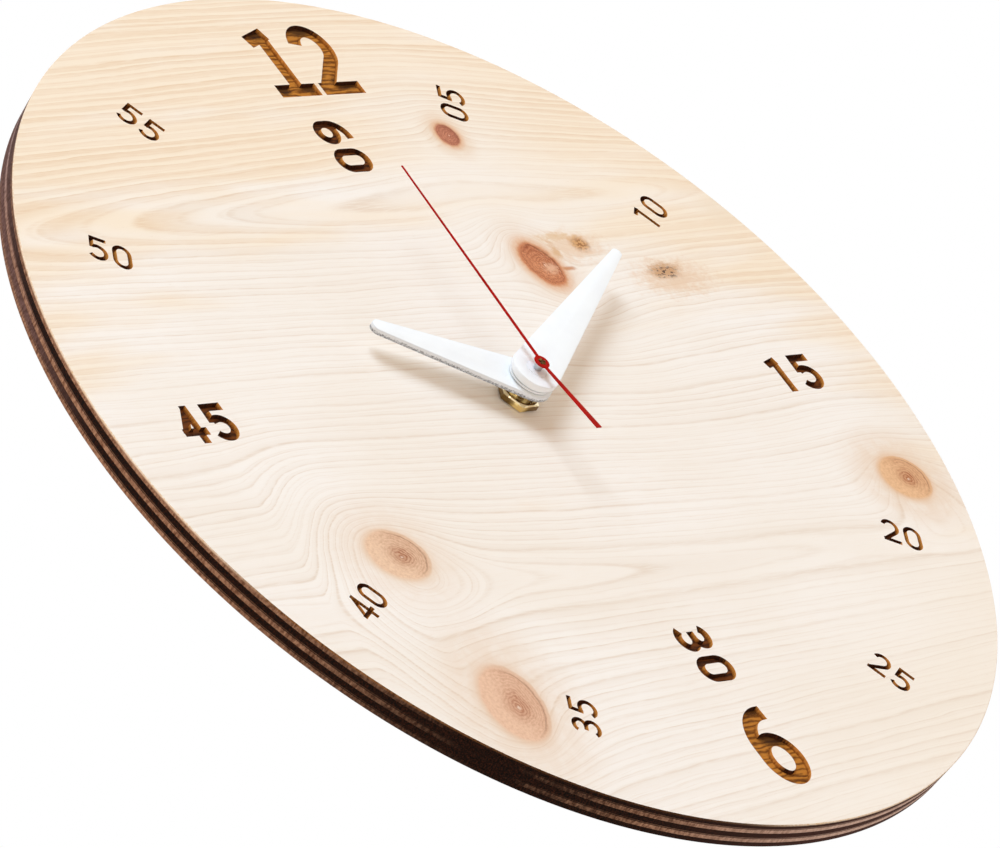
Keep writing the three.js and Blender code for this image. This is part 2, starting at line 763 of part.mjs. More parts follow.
// A ring round the coil's axis, which runs across the dial
function coilRing(outer, from, to) {
  const geometry = new THREE.CylinderGeometry(outer, outer, to - from, medium);
  geometry.rotateZ(Math.PI / 2);
  geometry.translate(rotorPlace.x + (from + to) / 2, coilY, behind(coreAt + coil.coreThickness / 2));
  return solid(geometry);
}

function coilBobbin() {
  const halfWidth = coil.coreWidth / 2 + seat;
  const reach = coilHalf + overrun;
  const slot = rectangle(
    rotorPlace.x - reach, coilY - halfWidth, rotorPlace.x + reach, coilY + halfWidth);
  return coilRing(coil.tubeRadius, -coilHalf, coilHalf)
    .add(coilRing(coil.radius, -coilHalf, -coilHalf + coil.flange))
    .add(coilRing(coil.radius, coilHalf - coil.flange, coilHalf))
    .subtract(prism(slot, behind(coreAt + coil.coreThickness + seat), behind(coreAt - seat)));
}

function coilWinding() {
  const end = coilHalf - coil.flange - seat;
  return coilRing(coil.radius - coil.windingInset, -end, end)
    .subtract(coilRing(coil.tubeRadius + seat, -end - overrun, end + overrun));
}

// An arbor that reaches from the middle plate into the rear cover
function arbor(place, from = middlePlateAt + middlePlate.thickness / 2) {
  const shoulder = middlePlateAt + middlePlate.thickness + seat;
  return bar(place, train.pivotRadius, behind(bearingAt + train.pivotLength), behind(from))
    .add(bar(place, train.arborRadius, behind(bearingAt - seat), behind(shoulder)));
}

function rotorBody() {
  return arbor(rotorPlace)
    .add(bar(rotorPlace, magnet.radius, behind(magnetAt + magnet.height), behind(magnetAt)))
    .add(gear(rotorPlace, teeth.rotorPinion, modules.rotor, first.rotorPinion,
      intermediateWheelAt, intermediateWheelAt + train.wheelThickness));
}

function intermediateBody() {
  return arbor(intermediatePlace)
    .add(gear(intermediatePlace, teeth.intermediatePinion, modules.intermediate, first.intermediatePinion,
      secondsWheelAt, secondsWheelAt + train.wheelThickness + seat))
    .add(gear(intermediatePlace, teeth.intermediateWheel, modules.rotor, first.intermediateWheel,
      intermediateWheelAt, intermediateWheelAt + train.wheelThickness));
}

function thirdBody() {
  const pinionBack = centreWheelAt + train.wheelThickness;
  return arbor(thirdPlace)
    .add(gear(thirdPlace, teeth.thirdPinion, modules.third, first.thirdPinion, centreWheelAt, pinionBack))
    .add(bar(thirdPlace, train.hubRadius, behind(thirdWheelAt), behind(pinionBack)))
    .add(gear(thirdPlace, teeth.thirdWheel, modules.seconds, first.thirdWheel,
      thirdWheelAt, thirdWheelAt + train.wheelThickness));
}

function secondsBody() {
  const shoulder = behind(bearingAt - seat);
  return bar(hub, pipes.secondsRadius, shoulder, secondHandAt - seat - seat)
    .add(bar(hub, train.pivotRadius, behind(bearingAt + train.pivotLength), shoulder + overrun))
    .add(gear(hub, teeth.secondsPinion, modules.seconds, first.secondsPinion,
      thirdWheelAt, secondsWheelAt))
    .add(gear(hub, teeth.secondsWheel, modules.intermediate, first.secondsWheel,
      secondsWheelAt, secondsWheelAt + train.wheelThickness));
}

function centreBody() {
  return gear(hub, teeth.centreWheel, modules.third, first.centreWheel,
    centreWheelAt, centreWheelAt + train.wheelThickness)
    .subtract(bar(hub, pipes.minuteRadius + seat, behind(centreWheelAt + train.wheelThickness) - overrun,
      behind(centreWheelAt) + overrun));
}

function cannonBody() {
  const low = behind(clutchAt + clutch.thickness);
  return bar(hub, pipes.minuteRadius, low, minutePipeTop)
    .add(gear(hub, teeth.cannonPinion, modules.cannon, first.cannonPinion,
      cannonAt, cannonAt + motion.wheelThickness))
    .subtract(bar(hub, pipes.minuteBore, low - overrun, minutePipeTop + overrun));
}

function clutchSpring() {
  const rear = behind(clutchAt + clutch.thickness);
  return ring(clutch.radius, pipes.minuteRadius + seat, rear, behind(clutchAt));
}

function motionBody() {
  return bar(motionPlace, motion.pivotRadius, behind(cannonAt), plateBack + frontPlate.pivotDepth - seat)
    .add(gear(motionPlace, teeth.motionPinion, modules.hour, first.motionPinion, hourWheelAt, cannonAt))
    .add(gear(motionPlace, teeth.motionWheel, modules.cannon, first.motionWheel,
      cannonAt, cannonAt + motion.wheelThickness))
    .add(bar(motionPlace, motion.shaftRadius, behind(caseDepth - shell.rearRecess - knob.thickness / 2),
      behind(cannonAt + motion.wheelThickness / 2)));
}

function settingKnob() {
  const rear = behind(caseDepth - shell.rearRecess);
  const front = rear + knob.thickness;
  const outline = [];
  const corners = knob.lobes * cornersPerLobe;
  for (let i = 0; i < corners; i += 1) {
    const angle = (i / corners) * 2 * Math.PI;
    const onLobe = i % cornersPerLobe < cornersPerLobe / 2;
    const radius = onLobe ? knob.radius : knob.radius - knob.lobeDepth;
    outline.push(onCircle(motionPlace, radius, angle));
  }
  const slot = rectangle(
    motionPlace.x - knob.radius / 2, motionPlace.y - knob.slotWidth / 2,
    motionPlace.x + knob.radius / 2, motionPlace.y + knob.slotWidth / 2);
  const shaftEnd = rear + knob.thickness / 2 - seat;
  return prism(new THREE.Shape(outline), rear, front)
    .subtract(prism(slot, rear - overrun, rear + knob.slotDepth))
    .subtract(bar(motionPlace, motion.shaftRadius + seat, shaftEnd, front + overrun));
}

function hourWheelBody() {
  const pipeTop = hourHandAt + hourHand.thickness;
  return bar(hub, pipes.hourRadius, behind(hourWheelAt + motion.hourWheelThickness), pipeTop)
    .add(gear(hub, teeth.hourWheel, modules.hour, first.hourWheel,
      hourWheelAt, hourWheelAt + motion.hourWheelThickness))
    .subtract(bar(hub, pipes.hourBore, behind(cannonAt), pipeTop + overrun));
}

// A tapering hand that points to 12, with a round hub and a round tip
function handOutline(hand, hole) {
  const far = hand.length - hand.tipRadius;
  const lean = Math.acos((hand.hubRadius - hand.tipRadius) / far);
  const right = Math.PI / 2 - lean;
  const left = Math.PI / 2 + lean;
  const shape = new THREE.Shape();
  shape.absarc(0, far, hand.tipRadius, right, left, false);
  shape.absarc(0, 0, hand.hubRadius, left, right + 2 * Math.PI, false);
  shape.holes.push(new THREE.Path().absarc(0, 0, hole, 0, 2 * Math.PI, true));
  return shape;
}

// A flat hand with room for its collet's sleeve round a pipe
function flatHand(hand, low, pipeRadius) {
  const hole = pipeRadius + seat + collet.sleeveWall + seat;
  return prism(handOutline(hand, hole), low, low + hand.thickness, medium);
}

function hourCollet() {
  const inner = pipes.hourRadius + seat;
  const outer = inner + collet.sleeveWall;
  return turned([
    [inner, hourHandAt - collet.sleeveBelow],
    [outer, hourHandAt - collet.sleeveBelow],
    [outer, hourFlangeAt],
    [collet.flangeRadius, hourFlangeAt],
    [collet.flangeRadius, hourFlangeAt + collet.flangeHeight],
    [inner, hourFlangeAt + collet.flangeHeight],
  ]);
}

function minuteCollet() {
  const inner = pipes.minuteRadius + seat;
  const outer = inner + collet.sleeveWall;
  return turned([
    [inner, minuteFlangeAt],
    [collet.flangeRadius, minuteFlangeAt],
    [collet.flangeRadius, minuteFlangeAt + collet.flangeHeight],
    [outer, minuteFlangeAt + collet.flangeHeight],
    [outer, minuteHandAt + minuteHand.thickness],
    [inner, minuteHandAt + minuteHand.thickness],
  ]);
}

function secondTube() {
  const top = secondHandAt + secondHand.thickness;
  return turned([
    [secondHand.tubeBore, tubeAt],
    [secondHand.tubeRadius, tubeAt],
    [secondHand.tubeRadius, secondHandAt - seat],
    [secondHand.rivetRadius, secondHandAt - seat],
    [secondHand.rivetRadius, top],
    [0, top],
    [0, secondHandAt - seat],
    [secondHand.tubeBore, secondHandAt - seat],
  ], coarse);
}

// The thin hand is bent up on both sides of its boss
function sweepHand() {
  const { length, tail, bossRadius, thickness, neckHalfWidth, tipHalfWidth, tailHalfWidth } = secondHand;
  const side = [
    [-tail, secondHand.tailRise],
    [-bossRadius, 0],
    [bossRadius, 0],
    [length, secondHand.tipRise],
  ];
  const under = side.map(([y, rise]) => new THREE.Vector2(y, rise));
  const over = side.map(([y, rise]) => new THREE.Vector2(y, rise + thickness)).reverse();
  const strip = new THREE.ExtrudeGeometry(new THREE.Shape([...under, ...over]), {
    depth: 2 * (bossRadius + overrun),
    bevelEnabled: false,
  });
  strip.translate(0, 0, -bossRadius - overrun);
  strip.rotateX(Math.PI / 2);
  strip.rotateZ(Math.PI / 2);
  strip.translate(0, 0, secondHandAt);
  const blade = new THREE.Shape([
    new THREE.Vector2(-tailHalfWidth, -tail),
    new THREE.Vector2(tailHalfWidth, -tail),
    new THREE.Vector2(neckHalfWidth, 0),
    new THREE.Vector2(tipHalfWidth, length),
    new THREE.Vector2(-tipHalfWidth, length),
    new THREE.Vector2(-neckHalfWidth, 0),
  ]);
  const high = secondHandAt + secondHand.tipRise + secondHand.tailRise + thickness + overrun;
  const plan = prism(blade, secondHandAt - overrun, high)
    .add(bar(hub, bossRadius, secondHandAt - overrun, high, medium))
    .subtract(bar(hub, secondHand.rivetRadius + seat, secondHandAt - overrun - overrun, high + overrun));
  return solid(strip).intersect(plan);
}

// Nodes in the order in which the clock comes apart from the front
const dial = new THREE.Group();

function add(group, name, body, material) {
  group.add(meshOf(name, body, material));
}

// A group of pieces that turn together about the hub, drawn pointing to 12 and set to an angle of the dial
function handGroup(angle) {
  const group = new THREE.Group();
  group.rotation.z = -angle * degree;
  dial.add(group);
  return group;
}

plyNames.forEach((name, number) => {
  const body = number === 0 ? engravedPly() : ply(number);
  add(dial, name, body, number % 2 === 0 ? pineFace : pineCore);
});
add(dial, 'hex_nut', hexNut(), brass);
add(dial, 'rubber_washer', rubberWasher(), blackRubber);
add(dial, 'threaded_bush', threadedBush(), brass);

const secondGroup = handGroup(secondHand.angle);
add(secondGroup, 'second_hand', sweepHand(), redLacquer);
add(secondGroup, 'second_hand_tube', secondTube(), brass);
add(dial, 'seconds_wheel', secondsBody(), whitePlastic);

const minuteGroup = handGroup(minuteHand.angle);
add(minuteGroup, 'minute_hand', flatHand(minuteHand, minuteHandAt, pipes.minuteRadius), whiteAcrylic);
add(minuteGroup, 'minute_collet', minuteCollet(), whitePlastic);
add(dial, 'cannon_pinion', cannonBody(), brass);
add(dial, 'clutch_spring', clutchSpring(), steel);

const hourGroup = handGroup(hourHand.angle);
add(hourGroup, 'hour_hand', flatHand(hourHand, hourHandAt, pipes.hourRadius), whiteAcrylic);
add(hourGroup, 'hour_collet', hourCollet(), whitePlastic);
add(dial, 'hour_wheel', hourWheelBody(), whitePlastic);

add(dial, 'motion_wheel', motionBody(), whitePlastic);
add(dial, 'setting_knob', settingKnob(), greyPlastic);
add(dial, 'centre_wheel', centreBody(), whitePlastic);
add(dial, 'third_wheel', thirdBody(), whitePlastic);
add(dial, 'intermediate_wheel', intermediateBody(), whitePlastic);
add(dial, 'rotor', rotorBody(), greyPlastic);

add(dial, 'front_plate', caseFrontPlate(), blackPlastic);
add(dial, 'middle_plate', caseMiddlePlate(), blackPlastic);
add(dial, 'rear_cover', rearCover(), blackPlastic);
add(dial, 'wall_hanger', wallHanger(), blackPlastic);

add(dial, 'stator', statorPlate(), steel);
add(dial, 'coil_core', coilCore(), steel);
add(dial, 'coil_bobbin', coilBobbin(), whitePlastic);
add(dial, 'coil_winding', coilWinding(), copper);
add(dial, 'circuit_board', circuitBoard(), boardGreen);
add(dial, 'control_chip', controlChip(), blackPlastic);
add(dial, 'quartz_crystal', quartzCrystal(), steel);
add(dial, 'negative_contact', negativeContact(), steel);
add(dial, 'positive_contact', positiveContact(), steel);
add(dial, 'battery', dryCell(), batteryJacket);

// The dial group is stood up, and its origin moved to where the nail bears
dial.rotation.x = Math.PI / 2;
dial.position.set(0, hangerMiddle, -hangerBearing);

const clock = new THREE.Group();
clock.add(dial);

export default clock;
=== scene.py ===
import bmesh
import bpy
import collections
import json
import math
from mathutils import Matrix, Vector, geometry

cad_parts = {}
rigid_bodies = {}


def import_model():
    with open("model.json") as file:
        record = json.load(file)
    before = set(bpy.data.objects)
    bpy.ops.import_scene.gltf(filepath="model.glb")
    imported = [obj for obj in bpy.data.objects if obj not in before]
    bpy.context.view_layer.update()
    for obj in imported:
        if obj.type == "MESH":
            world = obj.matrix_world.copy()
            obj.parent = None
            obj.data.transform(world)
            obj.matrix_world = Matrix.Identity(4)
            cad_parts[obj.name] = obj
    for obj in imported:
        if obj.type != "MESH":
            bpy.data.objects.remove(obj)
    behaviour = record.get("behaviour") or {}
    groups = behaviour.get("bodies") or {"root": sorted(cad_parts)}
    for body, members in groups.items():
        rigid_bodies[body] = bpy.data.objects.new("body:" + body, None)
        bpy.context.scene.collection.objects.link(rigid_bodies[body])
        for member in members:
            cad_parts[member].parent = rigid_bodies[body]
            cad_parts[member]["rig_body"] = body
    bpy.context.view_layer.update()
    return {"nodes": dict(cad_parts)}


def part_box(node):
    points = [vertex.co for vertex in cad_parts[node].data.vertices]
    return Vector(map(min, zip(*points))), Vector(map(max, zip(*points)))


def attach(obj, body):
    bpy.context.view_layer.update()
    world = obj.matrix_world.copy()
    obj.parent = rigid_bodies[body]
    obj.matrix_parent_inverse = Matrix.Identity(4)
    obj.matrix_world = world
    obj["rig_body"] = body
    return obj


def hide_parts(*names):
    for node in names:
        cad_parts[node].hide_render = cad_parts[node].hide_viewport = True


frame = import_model()
nodes = frame["nodes"]

# Lengths are millimetres in the dial's frame, where x is right, y up and z out of the face. The hub's
# axis is the origin and the face lies at height 0.
MM = 0.001
ply_low, ply_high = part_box("front_ply")
HUB = Vector(((ply_low.x + ply_high.x) / 2, ply_low.y, (ply_low.z + ply_high.z) / 2))
TAU = 2 * math.pi

# The board and its plies, and the depth of the engraving with the slope of its walls
RADIUS = 150.0
PLIES = 5
PLY = 1.64
PLY_PITCH = 1.84
DEPTH = 1.2
SLOPE = 0.28

# The gap between neighbours, the fastening at the hub and the back of the hour hand
SEAT = 0.3
NUT_FLATS = 11.0
NUT_HEIGHT = 2.2
BUSH_RADIUS = 4.0
HOUR_HAND_BACK = 5.4


def part(x, y, z):
    """A place of the dial's frame, in the part's frame and metres."""
    return HUB + Vector((x, -z, y)) * MM


def add_object(name, data):
    """A new object in the scene."""
    made = bpy.data.objects.new(name, data)
    bpy.context.scene.collection.objects.link(made)
    return made


# Fields of a material

def method(kind):
    """A method of Field that feeds the field, and what else it is given, through a Math node."""
    return lambda field, *others: field.math(kind, *others)


class Field:
    """A number or colour that a material works out at each point of a surface."""

    def __init__(self, tree, socket):
        self.tree, self.socket = tree, socket

    def node(self, kind, **settings):
        """A new node of the material with these settings."""
        made = self.tree.nodes.new(kind)
        for name, value in settings.items():
            setattr(made, name, value)
        return made

    def feed(self, socket, value):
        """Links a field to a socket, or sets a constant on it."""
        if isinstance(value, Field):
            self.tree.links.new(value.socket, socket)
        else:
            socket.default_value = value

    def math(self, operation, *others, clamp=False):
        """This field and the others through a Math node."""
        made = self.node("ShaderNodeMath", operation=operation, use_clamp=clamp)
        for socket, value in zip(made.inputs, (self, *others)):
            self.feed(socket, value)
        return Field(self.tree, made.outputs[0])

    __add__ = __radd__ = method("ADD")
    __sub__ = method("SUBTRACT")
    __mul__ = __rmul__ = method("MULTIPLY")
    __truediv__ = method("DIVIDE")
    __pow__ = method("POWER")
    abs = method("ABSOLUTE")
    root = method("SQRT")
    fract = method("FRACT")
    floor = method("FLOOR")
    exponential = method("EXPONENT")
    least = method("MINIMUM")
    most = method("MAXIMUM")

    def __rsub__(self, other):
        return self.math("MULTIPLY_ADD", -1.0, other)

    def clamp(self):
        return self.math("ADD", 0.0, clamp=True)

    def step(self, low, high, to_low=0.0, to_high=1.0):
        """Goes smoothly from to_low at low to to_high at high."""
        made = self.node("ShaderNodeMapRange", interpolation_type="SMOOTHSTEP")
        for socket, value in zip(made.inputs, (self, low, high, to_low, to_high)):
            self.feed(socket, value)
        return Field(self.tree, made.outputs[0])

    def ridge(self, start, top):
        """Rises from 0 at start to 1 at top, and falls back to 0 where this field is 1."""
        return self.step(start, top) * self.step(top, 1.0, 1.0, 0.0)

    def mix_value(self, low, high):
        """A number between low, where this field is 0, and high, where it is 1."""
        return low + (high - low) * self

    def mix(self, low, high):
        """A colour between low, where this field is 0, and high, where it is 1."""
        made = self.node("ShaderNodeMix", data_type="RGBA")
        self.feed(made.inputs[0], self)
        self.feed(made.inputs[6], rgb(low))
        self.feed(made.inputs[7], rgb(high))
        return Field(self.tree, made.outputs[2])


def rgb(colour):
    """A linear colour from a field or from written screen values of 0 to 255."""
    if isinstance(colour, Field):
        return colour
    shares = [value / 255 for value in colour]
    return [s / 12.92 if s <= 0.04045 else ((s + 0.055) / 1.055) ** 2.4 for s in shares] + [1.0]


class Surface:
    """A material in the making, with the place of each point in the dial's frame."""

    def __init__(self, name):
        self.material = bpy.data.materials.new(name)
        self.material.use_nodes = True
        self.tree = self.material.node_tree
        self.shader = self.tree.nodes["Principled BSDF"]
        start = self.tree.nodes.new("ShaderNodeTexCoord").outputs["Object"]
        split = self.tree.nodes.new("ShaderNodeSeparateXYZ")
        self.tree.links.new(start, split.inputs[0])
        along, deep, up = (Field(self.tree, socket) for socket in split.outputs)
        self.x = (along - HUB.x) * (1 / MM)
        self.y = (up - HUB.z) * (1 / MM)
        self.z = (HUB.y - deep) * (1 / MM)

    def vector(self, x, y, z):
        """Three fields or numbers as one vector."""
        made = self.tree.nodes.new("ShaderNodeCombineXYZ")
        for socket, value in zip(made.inputs, (x, y, z)):
            self.x.feed(socket, value)
        return Field(self.tree, made.outputs[0])

    def noise(self, x, y, z, detail=2.0, rough=0.5):
        """Soft noise of about 0.5, at the places given."""
        made = self.tree.nodes.new("ShaderNodeTexNoise")
        self.x.feed(made.inputs["Vector"], self.vector(x, y, z))
        for name, value in (("Scale", 1.0), ("Detail", detail), ("Roughness", rough)):
            made.inputs[name].default_value = value
        return Field(self.tree, made.outputs["Fac"])

    def rising(self):
        """How far the surface faces up the dial, from -1 to 1."""
        split = self.tree.nodes.new("ShaderNodeSeparateXYZ")
        start = self.tree.nodes.new("ShaderNodeNewGeometry").outputs["True Normal"]
        self.tree.links.new(start, split.inputs[0])
        return Field(self.tree, split.outputs[2])

    def finish(self, colour, rough, bump, height, metal=0.0, gloss=0.5):
        """Feeds the shader. The bump's height is in millimetres."""
        inputs = self.shader.inputs
        self.x.feed(inputs["Base Color"], colour)
        self.x.feed(inputs["Roughness"], rough)
        inputs["Metallic"].default_value = metal
        inputs["Specular IOR Level"].default_value = gloss
        made = self.tree.nodes.new("ShaderNodeBump")
        made.inputs["Distance"].default_value = height * MM
        self.x.feed(made.inputs["Height"], bump)
        self.tree.links.new(made.outputs[0], inputs["Normal"])
        return self.material


# Wood

# Knots of the face: place, half width and height, turn in degrees, number of fine rings, the colours of
# the core, its rings and its border, how many growth rings pile up round it, towards where and how
# closely, how far it bends the grain and how much it stains the wood around
Knot = collections.namedtuple("Knot", "at wide tall turn rings core ring border"
                                      " pile towards tight bend stain")
SPOTTED = (48.0, 45.4)
KNOTS = [
    Knot((49.9, 94.7), 4.0, 4.3, 0, 5, (208, 134, 100), (146, 72, 46), (206, 136, 98),
         -1.6, (0.0, -0.3), 0.45, 1.5, 0.45),
    Knot(SPOTTED, 6.4, 8.2, 12, 7, (222, 147, 100), (160, 77, 34), (204, 116, 60),
         2.4, (0.0, 0.2), 0.45, 2.4, 0.3),
    Knot((124.7, -41.9), 9.2, 8.3, -6, 9, (242, 195, 148), (168, 94, 48), (228, 182, 138),
         5.5, (0.15, -0.5), 0.5, 0.9, 0.42),
    Knot((-84.2, -47.6), 10.6, 9.0, -10, 10, (246, 209, 175), (168, 102, 64), (232, 198, 166),
         5.5, (0.15, -0.25), 0.4, 0.8, 0.24),
    Knot((-82.3, -99.0), 10.7, 13.6, -18, 11, (243, 202, 170), (180, 118, 84), (230, 196, 166),
         2.2, (0.0, 0.0), 0.5, 0.9, 0.3),
]
SMALL_KNOT = 8

# Where a knot's rings start, in shares of its half width and height
PITH = (0.12, -0.06)

# Smudges of resin: place, half width and height, colour, strength, how ragged the edge is, and the noise
# above which its specks show, or 0 for a whole smudge
SMUDGES = [
    ((65.0, 51.0), 17.0, 8.0, (230, 188, 146), 0.55, 0.5, 0.0),
    ((95.0, 37.0), 21.0, 9.5, (228, 186, 144), 0.6, 0.45, 0.0),
    ((93.5, 39.6), 9.0, 4.2, (198, 146, 98), 0.85, 0.5, 0.0),
    ((93.5, 39.0), 8.0, 3.6, (52, 24, 10), 1.0, 0.1, 0.53),
    ((68.5, 51.8), 5.2, 4.0, (210, 152, 88), 0.9, 0.35, 0.0),
    ((68.8, 51.5), 4.4, 3.6, (150, 92, 40), 0.85, 0.1, 0.48),
    ((61.0, 55.0), 10.0, 2.0, (224, 184, 134), 0.6, 0.5, 0.0),
    ((57.2, 49.8), 2.2, 5.0, (216, 168, 118), 0.7, 0.5, 0.0),
    ((57.0, 43.2), 4.2, 1.1, (196, 120, 60), 0.8, 0.3, 0.0),
    ((134.0, 60.5), 10.5, 9.5, (242, 222, 196), 0.7, 0.15, 0.0),
]


def distance(across, above):
    """How far a place is from the origin, by its two coordinates."""
    return (across ** 2.0 + above ** 2.0).root()


def knot_place(s, knot):
    """A point's place in a knot, whose border is at distance 1."""
    c, w = math.cos(math.radians(knot.turn)), math.sin(math.radians(knot.turn))
    across, above = s.x - knot.at[0], s.y - knot.at[1]
    return (across * c + above * w) / knot.wide, (above * c - across * w) / knot.tall


def growth(s, knots):
    """The number of the growth ring that comes to the surface at each place, and the height it has
    where nothing bends it."""
    x, y = s.x, s.y
    level = y + (x - 10.0).most(0.0) ** 2.0 * y.step(50, 120, 0.0, 0.0006)
    level = level - (x + 20.0) * y.step(-110, -50, 0.05, 0.0)
    piled = 0.25
    for knot in KNOTS if knots else []:
        u, v = knot_place(s, knot)
        level = level - v * (knot.tall * knot.bend) / (u ** 2.0 + v ** 2.0 + 0.8)
        spread = (u - knot.towards[0]) ** 2.0 + (v - knot.towards[1]) ** 2.0
        piled = (spread * -knot.tight).exponential() * knot.pile + piled
    level = level + s.noise(x * 0.012, y * 0.03, 2.0, detail=1.0) * 4 - 2.0
    level = level + s.noise(x * 0.05, y * 0.25, 5.0, detail=2.0) * 1.2 - 0.6
    hill = ((level - 69.0) ** 2.0 + ((x - 20.0) * 0.085) ** 2.0 + 80).root()
    lean = x.step(-120, -90, -17, 0) * (y + 62).abs().step(10, 70, 1.0, 0.0)
    hollow = ((level + 60.0) ** 2.0 + 160).root() - lean + (x + 60).most(0.0) * 0.015
    return hill * 0.42 + (level - hollow) * 0.37 + piled, level


def pine_face(name, seed=0.0, knots=True):
    """Planed pine: the late wood of each growth ring in soft, thin and broad lines on pale ground."""
    s = Surface(name)
    x, y = s.x, s.y
    rings, level = growth(s, knots)
    number = rings + s.noise(rings * 0.8, 3.0, seed, detail=0.0) * 1.2
    saw = number.fract()
    soft = saw.ridge(0.2, 0.92)
    thin = saw.ridge(0.78, 0.93)
    broad = saw.ridge(0.1, 0.7)
    between = (number * 2.0 + s.noise(number * 0.5, x * 0.01, seed + 5.0) * 2.0).fract()
    between = between.ridge(0.6, 0.85)
    faint = s.noise(number.floor() * 0.37, x * 0.006, seed + 9, detail=1.0).step(0.32, 0.62, 0.15, 1.0)
    aside = ((x * x + y * y).root() * 0.6 + y * 0.5 + x.least(0.0) * 0.13).step(30, 125)
    patch = s.noise(x * 0.014, y * 0.07, 4.0, detail=2.0)
    clear = (((x - 50.0) ** 2.0 + (y - 88.0) ** 2.0) * -0.0012).exponential()
    warm = (aside + (patch - 0.5) * 1.6).step(0.25, 1.0) * (clear * -0.7 + 1.0)
    low = (x * 0.6 - y).step(80, 190, 0.0, 0.05)
    fibre = s.noise(x * 0.10, level * 4.0, seed, detail=3.0)
    broken = s.noise(x * 0.15, level * 2.0, seed + 7, detail=3.0).step(0.3, 0.6, 0.2, 1.0)
    speck = s.noise(x * 0.5, level * 6.0, seed + 3, detail=1.0).step(0.72, 0.8)
    tone = s.noise(x * 0.012, y * 0.02, seed + 2, detail=2.0)
    line = (soft * 0.3 + thin * broken * 0.6) * faint * (0.42 - low) * warm.step(0.0, 1.0, 1.0, 0.7)
    line = line + between * broken * (0.16 - low * 1.6)
    line = line + broad * (faint * 0.5 + 0.2) * broken.step(0.0, 1.0, 0.6, 1.0) * warm * 0.36
    ground = tone.step(0.35, 0.65).mix((251, 243, 234), (248, 238, 226))
    ground = (warm * 0.9).mix(ground, (249, 230, 204))
    ground = (low * 9.0).mix(ground, (252, 238, 218))
    colour = line.mix(ground, warm.mix((214, 186, 156), (216, 166, 104)))
    colour = fibre.step(0.45, 0.8, 0.0, 0.2).mix(colour, (238, 214, 188))
    colour = (speck * 0.3).mix(colour, (208, 172, 134))
    if knots:
        for which, knot in enumerate(KNOTS):
            colour = with_knot(s, knot, which, colour)
        colour = with_resin(s, colour)
    return s.finish(colour, 0.5, fibre, 0.012, gloss=0.3)


def with_knot(s, knot, seed, colour):
    """The colour of the face with a knot grown in."""
    u, v = knot_place(s, knot)
    rough = s.noise(s.x * 0.22, s.y * 0.22, seed * 3.0 + 1, detail=3.0, rough=0.6)
    fine = s.noise(s.x * 0.9, s.y * 0.9, seed * 2.0, detail=4.0, rough=0.7)
    small = knot.wide < SMALL_KNOT
    r = distance(u, v) + (rough - 0.5) * (0.3 if small else 0.12)
    inner = distance(u - PITH[0], v - PITH[1])
    grown = r.clamp().mix_value(inner, r) + (rough - 0.5) * 0.3 + (fine - 0.5) * 0.08
    phase = (grown * float(knot.rings)).fract()
    line = phase.ridge(0.2, 0.75) * grown.step(0.1, 0.6, 1.0, 0.5)
    side = (u + v * 0.5 + (rough - 0.5) * 0.9).step(-0.5, 0.8)
    if small:
        shade = line * (side * 0.4 + 0.4) + fine.step(0.35, 0.7) * 0.3 + side * 0.2
        shade = shade + grown.step(0.4, 0.9) * 0.3
    else:
        close = grown.step(0.1, 0.8, 1.0, 0.5)
        shade = line * close * (side * 0.6 + 0.12) + fine.step(0.35, 0.7) * 0.25 + side * 0.2
        shade = shade + grown.step(0.05, 0.6, 0.45, 0.06)
    wood = shade.clamp().mix(knot.core, knot.ring)
    if small:
        grit = s.noise(s.x * 2.2, s.y * 2.2, 5.0, detail=2.0)
        wood = grit.step(0.45, 0.7, 0.0, 0.5).mix(wood, (126, 62, 34))
    heart = (inner + (fine - 0.5) * 0.1).step(0.02, 0.07, 0.6, 0.0)
    wood = heart.mix(wood, (248, 226, 204))
    if knot.at == SPOTTED:
        spot = distance((u - 0.3) / 0.55, (v + 0.25) / 0.3) + (fine - 0.5) * 2.6
        wood = spot.step(0.2, 1.2, 0.75, 0.0).mix(wood, (232, 184, 150))
    crack = (r - 0.86).abs().step(0.0, 0.045, 0.8 if small else 0.4, 0.0) * (u + v * 0.3).step(0.0, 0.8)
    wood = crack.mix(wood, (120, 72, 42))
    wood = (r.step(0.86, 0.96) * 0.7).mix(wood, knot.border)
    stain = r.step(1.0, 2.8, knot.stain, 0.0) * rough.step(0.3, 0.6, 0.6, 1.1)
    colour = stain.mix(colour, (226, 186, 146))
    reach, most, tint = (1.6, 1.0, (226, 178, 138)) if small else (1.3, 0.5, knot.border)
    around = (r.step(0.95, reach, most, 0.0) * fine.step(0.3, 0.6, 0.7, 1.0)).mix(colour, tint)
    edge = 0.86 if small else side.mix_value(0.84, 0.97)
    return r.step(edge, 1.14 if small else side.mix_value(1.1, 1.03), 1.0, 0.0).mix(around, wood)


def with_resin(s, colour):
    """The colour of the face with its smudges of resin."""
    rough = s.noise(s.x * 0.25, s.y * 0.4, 8.0, detail=4.0, rough=0.65)
    speckle = s.noise(s.x * 0.65, s.y * 0.95, 3.0, detail=3.0, rough=0.6)
    for (sx, sy), wide, tall, tint, most, ragged, grit in SMUDGES:
        r = distance((s.x - sx) / wide, (s.y - sy) / tall)
        r = r + (rough * 0.6 + speckle * 0.4 - 0.5) * (4.0 * ragged)
        amount = r.step(0.2, 1.0, most, 0.0)
        if grit:
            amount = amount * speckle.step(grit, grit + 0.06)
        colour = amount.mix(colour, tint)
    return colour


